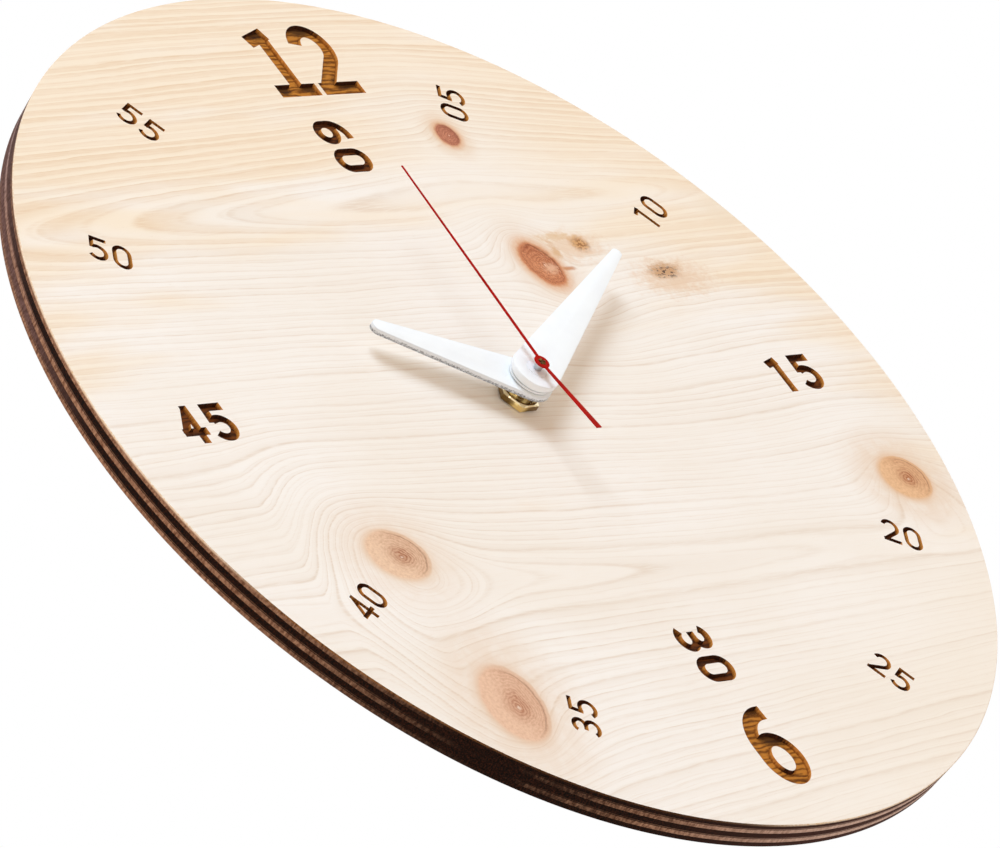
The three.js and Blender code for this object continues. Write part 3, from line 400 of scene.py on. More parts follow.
def rim_wood(name, along, seed=0.0):
    """The laser-burnt rim of a ply whose grain runs along x, or else along y. End grain stays pale. The char
    is painted lighter, mauve, at the upper left, where the key lamp falls, with a painted glint in the core
    ply; a painted reflection lightens the rim towards the lower right; and the face's edge is burnt golden,
    with a painted highlight except at the lower left."""
    s = Surface(name)
    radius = distance(s.x, s.y)
    end = ((s.x if along else s.y) / radius).abs()
    # Painted reflection, lighter towards the lower right
    reflection_lower_right = ((s.x - s.y) * 0.7071 / radius).step(0.3, 0.95)
    streak = s.noise(s.x * 1.3, s.y * 1.3, s.z * 0.5 + seed, detail=4.0, rough=0.7)
    worn = streak.step(0.3, 0.7)
    cloud = s.noise(s.x * 0.08, s.y * 0.08, s.z * 0.4 + seed, detail=2.0)
    share = ((s.z + 0.16) * (-1 / PLY_PITCH)).fract() + (streak - 0.5) * 0.16
    band = share.step(0.02, 0.16) * share.step(0.84, 1.0, 1.0, 0.0)
    pale = (end + (cloud + streak - 1.0) * 0.14).step(*((0.68, 1.02) if along else (0.78, 1.0))) * band
    grain = s.noise(s.x * 3.0, s.y * 3.0, s.z * 2.0 + seed, detail=3.0, rough=0.6)
    char = grain.step(0.4, 0.75).mix((10, 4, 2), (62, 30, 17))
    char = reflection_lower_right.mix(char, (74, 46, 40))
    high = s.y / radius
    # Painted light at the upper left, where the key lamp falls: the char lighter and mauve, with a painted
    # glint in the core ply
    lit_upper_left = high.step(0.0, 0.35) * (s.x / radius).step(-0.6, -0.3, 1.0, 0.0)
    lit_upper_left = lit_upper_left * s.z.step(-4.2, -3.4, 0.9, high.step(0.3, 0.6, 0.0, 0.6))
    glint = (s.z + 4.6).abs().step(0.2, 0.9, 1.0, 0.0) * streak.step(0.3, 0.6)
    mauve = glint.mix(worn.mix((80, 54, 48), (122, 92, 88)), (178, 152, 150))
    char = lit_upper_left.mix(char, mauve)
    light = worn.mix((106, 68, 48), (180, 138, 112))
    light = reflection_lower_right.mix(light, worn.mix((196, 164, 150), (224, 198, 186)))
    colour = pale.mix(char, light)
    if along:
        near = (s.z * -1.0 + streak * 0.8).step(0.6, 1.2, 1.0, 0.0)
        # The burnt golden edge, with a painted highlight except at the lower left
        lit = (s.y / radius).step(-0.42, -0.2).most((s.x / radius).step(-0.3, -0.05))
        dull = lit.mix((80, 44, 20), (224, 190, 152))
        shine = lit.mix((170, 118, 70), (254, 240, 222))
        gold = worn.mix(dull, shine)
        colour = (near * end.step(0.55, 0.9, 0.25, 1.0).most(lit)).mix(colour, gold)
    return s.finish(colour, 0.9, streak, 0.15, gloss=0.1)


# Places on the floors of the large numerals painted darkest, next to their top walls, for char and painted
# shadow of the walls: x, y, half width and height
CHAR_AND_SHADOW = [
    (6.6, 137.3, 3.6, 2.4), (24.8, 137.9, 4.6, 2.6), (12.0, 116.8, 3.4, 2.2), (2.0, 115.9, 2.2, 2.0),
    (27.6, 117.4, 4.6, 2.4), (0.6, -109.5, 4.6, 2.6), (0.6, -120.3, 5.0, 2.8),
]


def burnt_floor(name, dark, light):
    """The bottom of an engraving, burnt in bars across the grain, and painted darkest next to the top walls
    of the large numerals, for char and painted shadow of the walls.
    """
    s = Surface(name)
    drift = s.noise(s.x * 0.12, s.y * 0.4, 2.0, detail=2.0)
    bars = (s.y * 0.58 + drift * 2.5).fract()
    bars = bars.ridge(0.0, 0.5)
    fine = s.noise(s.x * 1.5, s.y * 3.0, 0.0, detail=3.0)
    patch = s.noise(s.x * 0.15, s.y * 0.15, 6.0, detail=2.0)
    colour = (bars * 0.6 + fine * 0.5 + patch * 0.4).step(0.25, 1.1).mix(dark, light)
    # Char and painted shadow next to the top walls of the large numerals
    for x, y, wide, tall in CHAR_AND_SHADOW:
        near = distance((s.x - x) / wide, (s.y - y) / tall) + (fine - 0.5) * 0.6
        colour = near.step(0.6, 1.5, 0.85, 0.0).mix(colour, (44, 22, 9))
    return s.finish(colour, 0.7, bars * 0.4 + fine * 0.6, 0.12, gloss=0.1)


def burnt_wall(name):
    """The side of an engraving, golden and darker towards the floor. Where it faces down the dial it is
    dark, as char and painted shade, the key lamp falling from above.
    """
    s = Surface(name)
    streak = s.noise(s.x * 2.0, s.y * 2.0, s.z * 0.5, detail=3.0)
    gold = (s.z + streak * 1.6).step(-0.6, 0.9).mix((136, 76, 24), (222, 150, 70))
    char = streak.step(0.35, 0.7).mix((40, 18, 8), (78, 38, 16))
    # Char and painted shade on the walls that face down the dial
    colour = (s.rising() + (streak - 0.5) * 0.4).step(-0.75, -0.2, 1.0, 0.0).mix(gold, char)
    return s.finish(colour, 0.8, streak, 0.1, gloss=0.1)


# Plain finishes

def plastic(name, colour, second, rough, grain=1.5, height=0.02, gloss=0.5):
    """A plain finish that drifts between two colours, with fine pits."""
    s = Surface(name)
    cloud = s.noise(s.x * 0.15, s.y * 0.15, s.z * 0.15, detail=2.0)
    pits = s.noise(s.x * grain, s.y * grain, s.z * grain, detail=4.0, rough=0.7)
    shade = cloud.step(0.3, 0.7).mix(colour, second)
    return s.finish(shade, pits.step(0.3, 0.7, rough - 0.06, rough + 0.06), pits, height, gloss=gloss)


def sawn_edge(name):
    """The cut side of the hour hand: smooth near the face, grey and broken below."""
    s = Surface(name)
    grit = s.noise(s.x * 1.6, s.y * 1.6, s.z * 2.5, detail=3.0, rough=0.7)
    broken = (s.z - HOUR_HAND_BACK + grit * 1.4).step(1.2, 1.8, 1.0, 0.0)
    colour = broken.mix((233, 236, 240), grit.step(0.35, 0.65).mix((119, 120, 124), (211, 214, 219)))
    return s.finish(colour, 0.6, grit, 0.12)


def metal(name, colour, second, rough, brush=8.0, height=0.01):
    """A metal that drifts between two colours, with fine lines across the part's depth."""
    s = Surface(name)
    cloud = s.noise(s.x * 0.4, s.y * 0.4, s.z * 0.4, detail=2.0)
    lines = s.noise(s.x * 0.8, s.y * 0.8, s.z * brush, detail=3.0)
    shade = cloud.step(0.3, 0.7).mix(colour, second)
    return s.finish(shade, lines.step(0.3, 0.7, rough, rough + 0.12), lines, height, metal=1.0)


def turned_brass(name, top, radius, reflection_bands):
    """Pale brass with painted reflections: dark, with pale upright bands across the piece as seen from the
    lower left, a painted dark reflection on its top, and a painted highlight round its upper edge.
    reflection_bands are (middle, half width, share)."""
    s = Surface(name)
    patch = s.noise(s.x * 0.5, s.y * 0.5, s.z * 0.4 + 4.0, detail=1.0)
    lines = s.noise(s.x * 0.3, s.y * 0.3, s.z * 6.0, detail=3.0)
    side = (s.x * 0.5 - s.y * 0.87) / radius + (patch - 0.5) * 0.3
    shade = 0.15
    # Painted reflections: dark, with pale upright bands
    for middle, half, share in reflection_bands:
        shade = (side - middle).abs().step(half * 0.4, half, share, 0.0) + shade
    shade = shade.clamp().mix((88, 54, 12), (255, 232, 160))
    # Painted highlight round the upper edge
    shade = s.z.step(top - 0.55, top - 0.4).mix(shade, (255, 240, 200))
    # Painted dark reflection on the top
    above = lines.step(0.3, 0.7).mix((74, 44, 12), (176, 130, 58))
    shade = s.z.step(top - 0.06, top - 0.02).mix(shade, above)
    return s.finish(shade, lines.step(0.3, 0.7, 0.08, 0.18), lines, 0.004, metal=1.0)


# A height over the whole part, for a piece with no painted dark reflection on its top and no painted
# highlight round its upper edge
NO_TOP = 99.0

# Each finish, with the function that makes it and what that is given
FINISHES = {
    "pine_face": (pine_face,),
    "pine_back": (pine_face, 40.0, False),
    "rim_along": (rim_wood, True),
    "rim_across": (rim_wood, False, 7.0),
    "burnt_floor": (burnt_floor, (94, 48, 12), (196, 126, 48)),
    # The floor of a narrow stroke is darker: burnt, and painted shade of the narrow groove
    "burnt_narrow": (burnt_floor, (40, 18, 7), (112, 60, 22)),
    "burnt_wall": (burnt_wall,),
    "white_satin": (plastic, (252, 254, 254), (249, 251, 252), 0.4),
    "sawn_edge": (sawn_edge,),
    "collet_white": (plastic, (240, 242, 244), (233, 235, 237), 0.45),
    "red_lacquer": (plastic, (178, 11, 2), (162, 8, 1), 0.5, 2.0, 0.005, 0.05),
    "brass": (metal, (224, 198, 140), (206, 176, 112), 0.1, 4.0, 0.003),
    "bush_brass": (turned_brass, NO_TOP, BUSH_RADIUS, [(-0.25, 0.4, 0.85), (0.6, 0.2, 0.4)]),
    "nut_brass": (turned_brass, SEAT + NUT_HEIGHT, 6.0, [(-1.0, 0.25, 0.6), (0.35, 0.5, 0.9)]),
    "rivet_brass": (metal, (108, 74, 34), (62, 38, 16), 0.35, 4.0, 0.003),
    "white_edge": (plastic, (248, 250, 252), (242, 245, 248), 0.5, 3.0, 0.06),
    "nickel": (metal, (214, 214, 213), (186, 187, 188), 0.32),
    "steel": (metal, (176, 178, 181), (150, 152, 156), 0.3),
    "copper": (metal, (190, 110, 60), (160, 86, 44), 0.3),
    "black_plastic": (plastic, (27, 27, 29), (34, 34, 36), 0.5, 3.0, 0.04),
    "grey_plastic": (plastic, (93, 96, 100), (84, 87, 91), 0.5, 3.0, 0.03),
    "rubber": (plastic, (32, 32, 32), (42, 42, 41), 0.85, 2.0, 0.05),
    "gear_plastic": (plastic, (230, 228, 220), (220, 218, 208), 0.4),
    "board": (plastic, (40, 84, 54), (52, 102, 64), 0.5),
    "jacket": (plastic, (52, 66, 78), (60, 75, 88), 0.3, 0.6),
    "magnet": (plastic, (60, 60, 62), (74, 74, 76), 0.4),
}
materials = {name: make(name, *given) for name, (make, *given) in FINISHES.items()}

# Meshes

def piece(name, points, faces, body, replaced, slot, finishes, picks=None, crease=30):
    """A piece from points of the dial's frame. picks gives each face its finish."""
    mesh = bpy.data.meshes.new(name)
    mesh.from_pydata([part(*point) for point in points], [], faces)
    for finish in finishes:
        mesh.materials.append(materials[finish])
    if picks is not None:
        mesh.polygons.foreach_set("material_index", picks)
    work = bmesh.new()
    work.from_mesh(mesh)
    bmesh.ops.remove_doubles(work, verts=work.verts, dist=0.0005 * MM)
    bmesh.ops.dissolve_degenerate(work, edges=work.edges, dist=0.0001 * MM)
    bmesh.ops.recalc_face_normals(work, faces=work.faces)
    work.to_mesh(mesh)
    work.free()
    mesh.shade_smooth()
    mesh.set_sharp_from_angle(angle=math.radians(crease))
    made = add_object(name, mesh)
    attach(made, body)
    if replaced:
        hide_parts(*replaced)


def arc(x, y, radius, start, end, count):
    """Points of an arc between two angles in degrees."""
    angles = [math.radians(start + (end - start) * i / count) for i in range(count + 1)]
    return [(x + radius * math.cos(a), y + radius * math.sin(a)) for a in angles]


def circle(radius, count):
    """Points of a circle round the hub."""
    return arc(0, 0, radius, 0, 360, count)[:-1]


def inset(loop, run):
    """A closed loop moved to its left by run, with mitred corners."""
    moved = []
    for i, point in enumerate(loop):
        before = Vector(point) - Vector(loop[i - 1])
        after = Vector(loop[(i + 1) % len(loop)]) - Vector(point)
        before.normalize()
        after.normalize()
        mitre = before + after
        mitre *= 2 * run / max(mitre.length_squared, 0.5)
        moved.append((point[0] - mitre.y, point[1] + mitre.x))
    return moved


def fill(loops, inside):
    """Triangles of the plane between loops. inside says which triangles stay, by the loops round them."""
    points, rings = [], []
    for loop in loops:
        rings.append(list(range(len(points), len(points) + len(loop))))
        points += [Vector(point) for point in loop]
    made = geometry.delaunay_2d_cdt(points, [], rings, 0, 1e-5)
    kinds = [(face, inside(set(around))) for face, around in zip(made[2], made[5])]
    return [tuple(point) for point in made[0]], [(face, kind) for face, kind in kinds if kind is not None]


def wall(points, loop, levels):
    """Adds a loop's points at each level, and gives the faces between them. levels are (height, inset)
    pairs from the top down."""
    starts, faces = [], []
    for height, moved in levels:
        starts.append(len(points))
        points += [(x, y, height) for x, y in (inset(loop, moved) if moved else loop)]
    for upper, lower in zip(starts, starts[1:]):
        for i in range(len(loop)):
            j = (i + 1) % len(loop)
            faces.append((upper + j, upper + i, lower + i, lower + j))
    return faces


def lid(points, outer, hole, height):
    """Adds the points of a flat face with a hole, and gives its triangles."""
    flat, triangles = fill([outer, hole], lambda around: 0 if around == {0} else None)
    start = len(points)
    points += [(x, y, height) for x, y in flat]
    return [tuple(start + i for i in face) for face, _ in triangles]


def slab(outer, hole, levels):
    """Points and faces of a flat plate with a hole."""
    points = []
    loops = [outer, hole[::-1]]
    faces = [face for loop in loops for face in wall(points, loop, levels)]
    for height, moved in (levels[0], levels[-1]):
        rim, bore = (inset(loop, moved) if moved else loop for loop in loops)
        faces += lid(points, rim, bore[::-1], height)
    return points, faces


def edged(high, low, edge):
    """The levels of a plate with softened edges."""
    return [(high, edge), (high - edge * 0.3, edge * 0.3), (high - edge, 0), (low + edge, 0),
            (low + edge * 0.3, edge * 0.3), (low, edge)]


def rounded(profile, radius):
    """A closed profile with its corners rounded off."""
    soft = []
    for i, (r, z) in enumerate(profile):
        if r <= 0:
            soft.append((r, z))
            continue
        before, corner = Vector(profile[i - 1]), Vector((r, z))
        after = Vector(profile[(i + 1) % len(profile)])
        reach = min(radius, (before - corner).length / 2.1, (after - corner).length / 2.1)
        a = corner + (before - corner).normalized() * reach
        b = corner + (after - corner).normalized() * reach
        for share in (0, 0.5, 1):
            point = a.lerp(corner, share).lerp(corner.lerp(b, share), share)
            soft.append((max(point.x, 0), point.y))
    return soft


def skin(rows, closed=True):
    """Points and faces of rows of (radius, height) round the hub's axis, each joined to the next one."""
    count = len(rows[0])
    points, faces = [], []
    for row in rows:
        for k, (r, z) in enumerate(row):
            angle = TAU * k / count
            points.append((r * math.cos(angle), r * math.sin(angle), z))
    for level in range(len(rows) if closed else len(rows) - 1):
        a, b = level * count, (level + 1) % len(rows) * count
        for k in range(count):
            j = (k + 1) % count
            faces.append((a + k, a + j, b + j, b + k))
    return points, faces


def turned(profile, count=64):
    """Points and faces of a closed profile of (radius, height) turned about the hub's axis."""
    return skin([[place] * count for place in profile])


def turn_by(points, degrees):
    """Points turned about the hub, clockwise as the dial is read."""
    c, s = math.cos(math.radians(degrees)), math.sin(math.radians(degrees))
    return [(x * c + y * s, y * c - x * s, z) for x, y, z in points]


# Numerals

# The three styles of the numerals, with the step of their curves in degrees
STYLES = {
    "large": dict(height=26.4, width=15.6, stroke=4.6, spacing=1.6, step=5),
    "bold": dict(height=13.0, width=8.8, stroke=2.6, spacing=1.8, step=7.5),
    "plain": dict(height=9.0, width=5.8, stroke=1.3, spacing=1.4, step=7.5),
}

# Numbers that stand on their own: text, style, place in shares of the dial's radius and turn in degrees
NUMBERS = [
    ("12", "large", 0.098, 0.835, 0), ("60", "bold", 0.045, 0.62, -90), ("15", "bold", 0.755, -0.008, 0),
    ("30", "bold", -0.013, -0.61, -90), ("6", "large", -0.015, -0.825, 0), ("45", "bold", -0.775, 0.011, 0),
]

# The minutes in the ring between the quarters, which read outwards on the right and inwards on the left
RING_SHARE = 0.816
for hour in (1, 2, 4, 5, 7, 8, 10, 11):
    angle = 90 - 30 * hour
    place = (RING_SHARE * math.cos(math.radians(angle)), RING_SHARE * math.sin(math.radians(angle)))
    NUMBERS.append((f"{hour * 5:02d}", "plain", *place, angle if hour < 6 else angle + 180))


def digit_strokes(digit, style):
    """The strokes of a digit as (closed, line in shares, half strokes of square end at both ends)."""
    def bend(x, y, across, up, start, end):
        count = math.ceil(abs(end - start) / style["step"])
        angles = [math.radians(start + (end - start) * i / count) for i in range(count + 1)]
        return [(x + across * math.cos(a), y + up * math.sin(a)) for a in angles]

    edge = style["stroke"] / 2 / (style["width"] - style["stroke"])
    strokes = {
        "0": [(True, (bend(.5, .7, .5, .3, 0, 180) + bend(.5, .3, .5, .3, 180, 360))[:-1], (1, 1))],
        "1": [(False, [(.55, 0), (.55, .92)], (1, 0)), (False, [(.55 + edge, .99), (0, .86)], (0, 0))],
        "2": [(False, bend(.5, .7, .5, .3, 165, -45) + [(0, 0)], (0, 0)), (False, [(0, 0), (1, 0)], (1, 1))],
        "3": [(False, bend(.46, .76, .46, .24, 155, -90) + [(.34, .52)], (0, 1)),
              (False, [(.34, .52)] + bend(.48, .26, .52, .26, 90, -155), (1, 0))],
        "4": [(False, [(.72, 0), (.72, 1)], (1, 1)), (False, [(.72, 1), (.04, .3)], (0, 1)),
              (False, [(0, .26), (1, .26)], (1, 1))],
        "5": [(False, [(.94, 1), (.12, 1), (.08, .5)], (1, 0)),
              (False, [(.08, .57)] + bend(.45, .31, .55, .31, 105, -150), (0, 0))],
        "6": [(True, bend(.5, .3, .5, .3, 0, 360)[:-1], (1, 1)),
              (False, bend(.82, .52, .82, .48, 90, 180) + [(0, .3)], (.5, 0))],
    }[digit]
    if digit == "1" and style is STYLES["large"]:
        strokes.append((False, [(0, 0), (1, 0)], (1, 1)))
    return strokes


def stroke_loops(line, half, closed, ends):
    """The outline of a stroke: one loop, or two for a closed one."""
    points = [Vector(point) for point in line]
    last = len(points) - 1
    sides = [[], []]
    for i, point in enumerate(points):
        into = (point - points[i - 1]).normalized() if i or closed else (points[1] - point).normalized()
        out = (points[(i + 1) % (last + 1)] - point).normalized() if i < last or closed else into
        mitre = into + out
        mitre *= 2 * half / mitre.length_squared
        middle = point.copy()
        if not closed and i == 0:
            middle -= into * half * ends[0]
        if not closed and i == last:
            middle += into * half * ends[1]
        sides[0].append((middle.x + mitre.y, middle.y - mitre.x))
        sides[1].append((middle.x - mitre.y, middle.y + mitre.x))
    return sides if closed else [sides[0] + sides[1][::-1]]


def number_loops():
    """All strokes of the dial, each with its one or two loops and whether it is a broad one."""
    strokes = []
    for text, kind, px, py, turn in NUMBERS:
        style = STYLES[kind]
        wide, tall = style["width"] - style["stroke"], style["height"] - style["stroke"]
        c, s = math.cos(math.radians(turn)), math.sin(math.radians(turn))
        for i, digit in enumerate(text):
            left = (i - (len(text) - 1) / 2) * (style["width"] + style["spacing"]) - wide / 2
            for closed, line, ends in digit_strokes(digit, style):
                local = [(left + across * wide, (up - 0.5) * tall) for across, up in line]
                placed = [(x * c - y * s + px * RADIUS, x * s + y * c + py * RADIUS) for x, y in local]
                strokes.append((stroke_loops(placed, style["stroke"] / 2, closed, ends), kind == "large"))
    return strokes


# Dial

# Points of the rim and the hole, the hole's radius, the softened edges of the board and of a ply inside
# it, and how much the rim draws in per millimetre of depth
RIM_COUNT = 360
HOLE_COUNT = 48
HOLE = BUSH_RADIUS + SEAT
SOFT_RIM = 0.15
SOFT_PLY = 0.05
TAPER = 0.07


def ply_levels(number):
    """Heights and insets of a ply's rim. Inner plies meet their neighbours in a fine line."""
    last = number == PLIES - 1
    reach = (PLY_PITCH - PLY) / 2 - 0.02
    top = -number * PLY_PITCH + (reach if number else 0)
    bottom = -number * PLY_PITCH - PLY - (0 if last else reach)
    front = SOFT_PLY if number else SOFT_RIM
    back = SOFT_RIM if last else SOFT_PLY
    levels = [(top, front), (top - front, 0), (bottom + back, 0), (bottom, back)]
    return [(height, moved - TAPER * height) for height, moved in levels]


# Finishes of the front ply: its face, the floor of a broad stroke, sides and back, its rim, and the floor
# of a narrow stroke
FRONT_FINISHES = ["pine_face", "burnt_floor", "burnt_wall", "rim_along", "burnt_narrow"]
FACE, BROAD, SIDE, RIM, NARROW = range(len(FRONT_FINISHES))


def front_veneer():
    """The front ply with its numerals sunk into it."""
    levels = ply_levels(0)
    rim = circle(RADIUS, RIM_COUNT)
    hole = circle(HOLE, HOLE_COUNT)
    strokes = number_loops()
    loops, owners = [inset(rim, levels[0][1]), hole], {}
    for k, (stroke, _) in enumerate(strokes):
        for loop in stroke:
            owners.setdefault(k, []).append(len(loops))
            loops.append(loop)

    def sunk(around):
        """The finish of a place, by the loops round it. Loop 0 is the rim and loop 1 the hole."""
        if 0 not in around or 1 in around:
            return None
        for k, (outer, *inner) in owners.items():
            if outer in around and not around.intersection(inner):
                return BROAD if strokes[k][1] else NARROW
        return FACE

    flat, triangles = fill(loops, sunk)
    points = [(x, y, 0.0) for x, y in flat]
    lower = len(points)
    faces, picks, sides = [], [], {}
    for face, finish in triangles:
        deep = finish != FACE
        faces.append(tuple(i + lower * deep for i in face))
        picks.append(finish)
        for a, b in zip(face, face[1:] + face[:1]):
            sides.setdefault(frozenset((a, b)), []).append((a, b, deep))
    inward = [(0.0, 0.0)] * lower
    for edges in sides.values():
        if len(edges) == 2 and edges[0][2] != edges[1][2]:
            a, b, _ = next(edge for edge in edges if edge[2])
            faces.append((a, b, b + lower, a + lower))
            picks.append(SIDE)
            run = math.dist(flat[a], flat[b])
            left = (flat[a][1] - flat[b][1]) / run, (flat[b][0] - flat[a][0]) / run
            for i in (a, b):
                inward[i] = inward[i][0] + left[0], inward[i][1] + left[1]
    for (x, y), (u, v) in zip(flat, inward):
        reach = SLOPE / max(0.8, (u * u + v * v) / 2)
        points.append((x + u * reach, y + v * reach, -DEPTH))
    straight = [(height, 0) for height, _ in levels]
    for loop, heights, finish in ((rim, levels, RIM), (hole[::-1], straight, SIDE)):
        made = wall(points, loop, heights)
        faces += made
        picks += [finish] * len(made)
    height, moved = levels[-1]
    made = lid(points, inset(rim, moved), hole, height)
    return points, faces + made, picks + [SIDE] * len(made)


points, faces, picks = front_veneer()
piece("front_veneer", points, faces, "case", ["front_ply"], "pine", FRONT_FINISHES, picks)

# The other plies. What insets their rim widens their hole by as much, so it starts smaller
INNER_HOLE = circle(HOLE - TAPER * PLY_PITCH * PLIES, HOLE_COUNT)
for number, name in enumerate(["second_ply", "core_ply", "fourth_ply", "rear_ply"], 1):
    points, faces = slab(circle(RADIUS, RIM_COUNT), INNER_HOLE, ply_levels(number))
    lowest = ply_levels(number)[-1][0]
    picks = [1 if all(abs(points[i][2] - lowest) < 1e-6 for i in face) else 0 for face in faces]
    slot, rim = ("pine_core", "rim_across") if number % 2 else ("pine", "rim_along")
    piece(name.replace("ply", "veneer"), points, faces, "case", [name], slot, [rim, "pine_back"], picks)

# Fastening

# The thread's end, pitch and depth, and the faces of the washer, the bush's collar and the movement
THREAD_TOP = 3.9
THREAD_PITCH = 0.75
THREAD_DEPTH = 0.4
WASHER_FACE = -9.3
COLLAR_FACE = -9.6
MOVEMENT_FACE = -10.6


def hex_nut():
    """A hexagon whose corners are turned off above, with a chamfered hole."""
    low, top, half, bore, count = SEAT, SEAT + NUT_HEIGHT, NUT_FLATS / 2, BUSH_RADIUS + SEAT, 144
    full = []
    for k in range(count):
        within = (TAU * k / count + math.pi / 6) % (math.pi / 3) - math.pi / 6
        full.append(half / math.cos(math.pi / 6 - abs(within)))
    eased = [reach - 0.12 for reach in full]
    cut = [min(reach, half) for reach in eased]
    crown = [reach - 0.3 for reach in cut]
    levels = [(low, [4.6] * count), (low, eased), (low + 0.15, full), (top - 0.5, full), (top - 0.1, cut),
              (top, crown), (top, [4.75] * count), (top - 0.45, [bore] * count), (low + 0.3, [bore] * count)]
    return skin([[(reach, height) for reach in reaches] for height, reaches in levels])


def threaded_bush():
    """A bush with a rolled thread, from its collar behind the dial to its open end."""
    count, step, run_out = 72, 0.075, 0.35
    bore, stem, collar, mouth = 2.8, 4.6, 6.0, 3.2
    back = -float(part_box("threaded_bush")[1].y - HUB.y) / MM
    behind = [(bore, back), (stem, back), (stem, MOVEMENT_FACE), (collar, MOVEMENT_FACE),
              (collar, COLLAR_FACE)]
    rows = [[place] * count for place in behind]
    steps = int((THREAD_TOP - COLLAR_FACE) / step)
    for i in range(steps + 1):
        z = COLLAR_FACE + (THREAD_TOP - COLLAR_FACE) * i / steps
        fade = min(1.0, max(0.0, (THREAD_TOP - z) / run_out))
        row = []
        for k in range(count):
            phase = (z / THREAD_PITCH - k / count) % 1
            depth = THREAD_DEPTH * abs(2 * phase - 1) * fade + (1 - fade) * 0.45
            row.append((BUSH_RADIUS - min(THREAD_DEPTH, depth), z))
        rows.append(row)
    rows.append([(mouth, THREAD_TOP)] * count)
    rows.append([(bore, THREAD_TOP - 0.3)] * count)
    return skin(rows)


piece("nut", *hex_nut(), "case", ["hex_nut"], "brass", ["nut_brass"])
piece("bush", *threaded_bush(), "case", ["threaded_bush"], "brass", ["bush_brass"], crease=50)
washer = [(6.3, WASHER_FACE), (12, WASHER_FACE), (12, MOVEMENT_FACE), (6.3, MOVEMENT_FACE)]
piece("washer", *turned(rounded(washer, 0.3)), "case", ["rubber_washer"], "black_rubber", ["rubber"])

# Hands

# The pipes' radii, the collets' thickness, and the hands as they stand in the photo
HOUR_PIPE = 2.5
MINUTE_PIPE = 1.6
SLEEVE = 0.8
HOUR = dict(length=48.0, hub=7.0, tip=2.2, low=HOUR_HAND_BACK, high=7.2, turn=-60.0,
            hole=HOUR_PIPE + SEAT + SLEEVE + SEAT)
MINUTE = dict(length=76.0, hub=7.0, tip=1.6, low=9.3, high=10.9, turn=59.3,
              hole=MINUTE_PIPE + SEAT + SLEEVE + SEAT)
SECOND_TURN = 0.5


def flat_hand(hand):
    """A flat pointer from its round hub to its round tip. Its faces have finish 0 and its side 1."""
    far = hand["length"] - hand["tip"]
    lean = math.degrees(math.acos((hand["hub"] - hand["tip"]) / far))
    outer = arc(0, far, hand["tip"], 90 - lean, 90 + lean, 24)
    outer += arc(0, 0, hand["hub"], 90 + lean, 450 - lean, 72)
    points, faces = slab(outer, circle(hand["hole"], 64), edged(hand["high"], hand["low"], 0.12))
    picks = [0 if len({round(points[i][2], 4) for i in face}) == 1 else 1 for face in faces]
    return turn_by(points, hand["turn"]), faces, picks


for name, hand, body in (("hour_hand", HOUR, "hour"), ("minute_hand", MINUTE, "minute")):
    points, faces, picks = flat_hand(hand)
    piece(name.replace("hand", "pointer"), points, faces, body, [name], "white_acrylic",
          ["white_satin", "sawn_edge" if body == "hour" else "white_edge"], picks)

# Profiles of the collets and of the second hand's tube
hour_collet = [(2.8, 4.4), (3.6, 4.4), (3.6, 7.5), (6.3, 7.5), (6.3, 8.1), (2.8, 8.1)]
piece("hour_collar", *turned(rounded(hour_collet, 0.12), 96), "hour", ["hour_collet"], "white_plastic",
      ["collet_white"])
minute_collet = [(1.9, 8.4), (6.3, 8.4), (6.3, 9.0), (2.96, 9.0), (2.96, 11.0), (0.8, 11.1), (0.8, 10.96),
                 (1.9, 10.96)]
piece("minute_collar", *turned(rounded(minute_collet, 0.06), 96), "minute", ["minute_collet"],
      "white_plastic", ["white_edge"])
tube = [(0.8, 11.2), (1.2, 11.2), (1.2, 13.1), (0, 13.1), (0, 12.9), (0.8, 12.9)]
piece("second_collar", *turned(rounded(tube, 0.06), 40), "second", ["second_hand_tube"], "brass", ["nickel"])


def sweep_hand():
    """A thin blade, bent up on both sides of its boss, with soft edges."""
    boss, length, tail, thick, low = 2.3, 70.5, 25.7, 0.35, 13.3
    tip_rise, tail_rise = 2.1, 2.0
    waist, tip, end = 0.5, 0.25, 0.95

    def half(y):
        return waist + (tip - waist) * y / length if y > 0 else waist + (end - waist) * -y / tail

    def rise(y):
        reach = boss * 0.9
        if y > reach:
            return (y - reach) / (length - reach) * tip_rise
        if y < -reach:
            return (-y - reach) / (tail - reach) * tail_rise
        return 0.0

    upper = math.degrees(math.acos(half(boss) / boss))
    lower = math.degrees(math.acos(half(-boss) / boss))
    right = arc(0, 0, boss, -lower, upper, 40)
    left = arc(0, 0, boss, 180 - upper, 180 + lower, 40)
    ups = [3, 8, 20, 35, 50, length]
    downs = [-3, -8, -16, -tail]
    outer = right + [(half(y), y) for y in ups] + [(-half(y), y) for y in reversed(ups)]
    outer += left + [(-half(y), y) for y in downs] + [(half(y), y) for y in reversed(downs)]
    levels = [(thick, 0.06), (thick - 0.06, 0), (0.06, 0), (0, 0.06)]
    points, faces = slab(outer, circle(1.05, 32), levels)
    lifted = [(x, y, low + z + rise(y)) for x, y, z in points]
    return turn_by(lifted, SECOND_TURN), faces


piece("second_pointer", *sweep_hand(), "second", ["second_hand"], "red_lacquer", ["red_lacquer"])


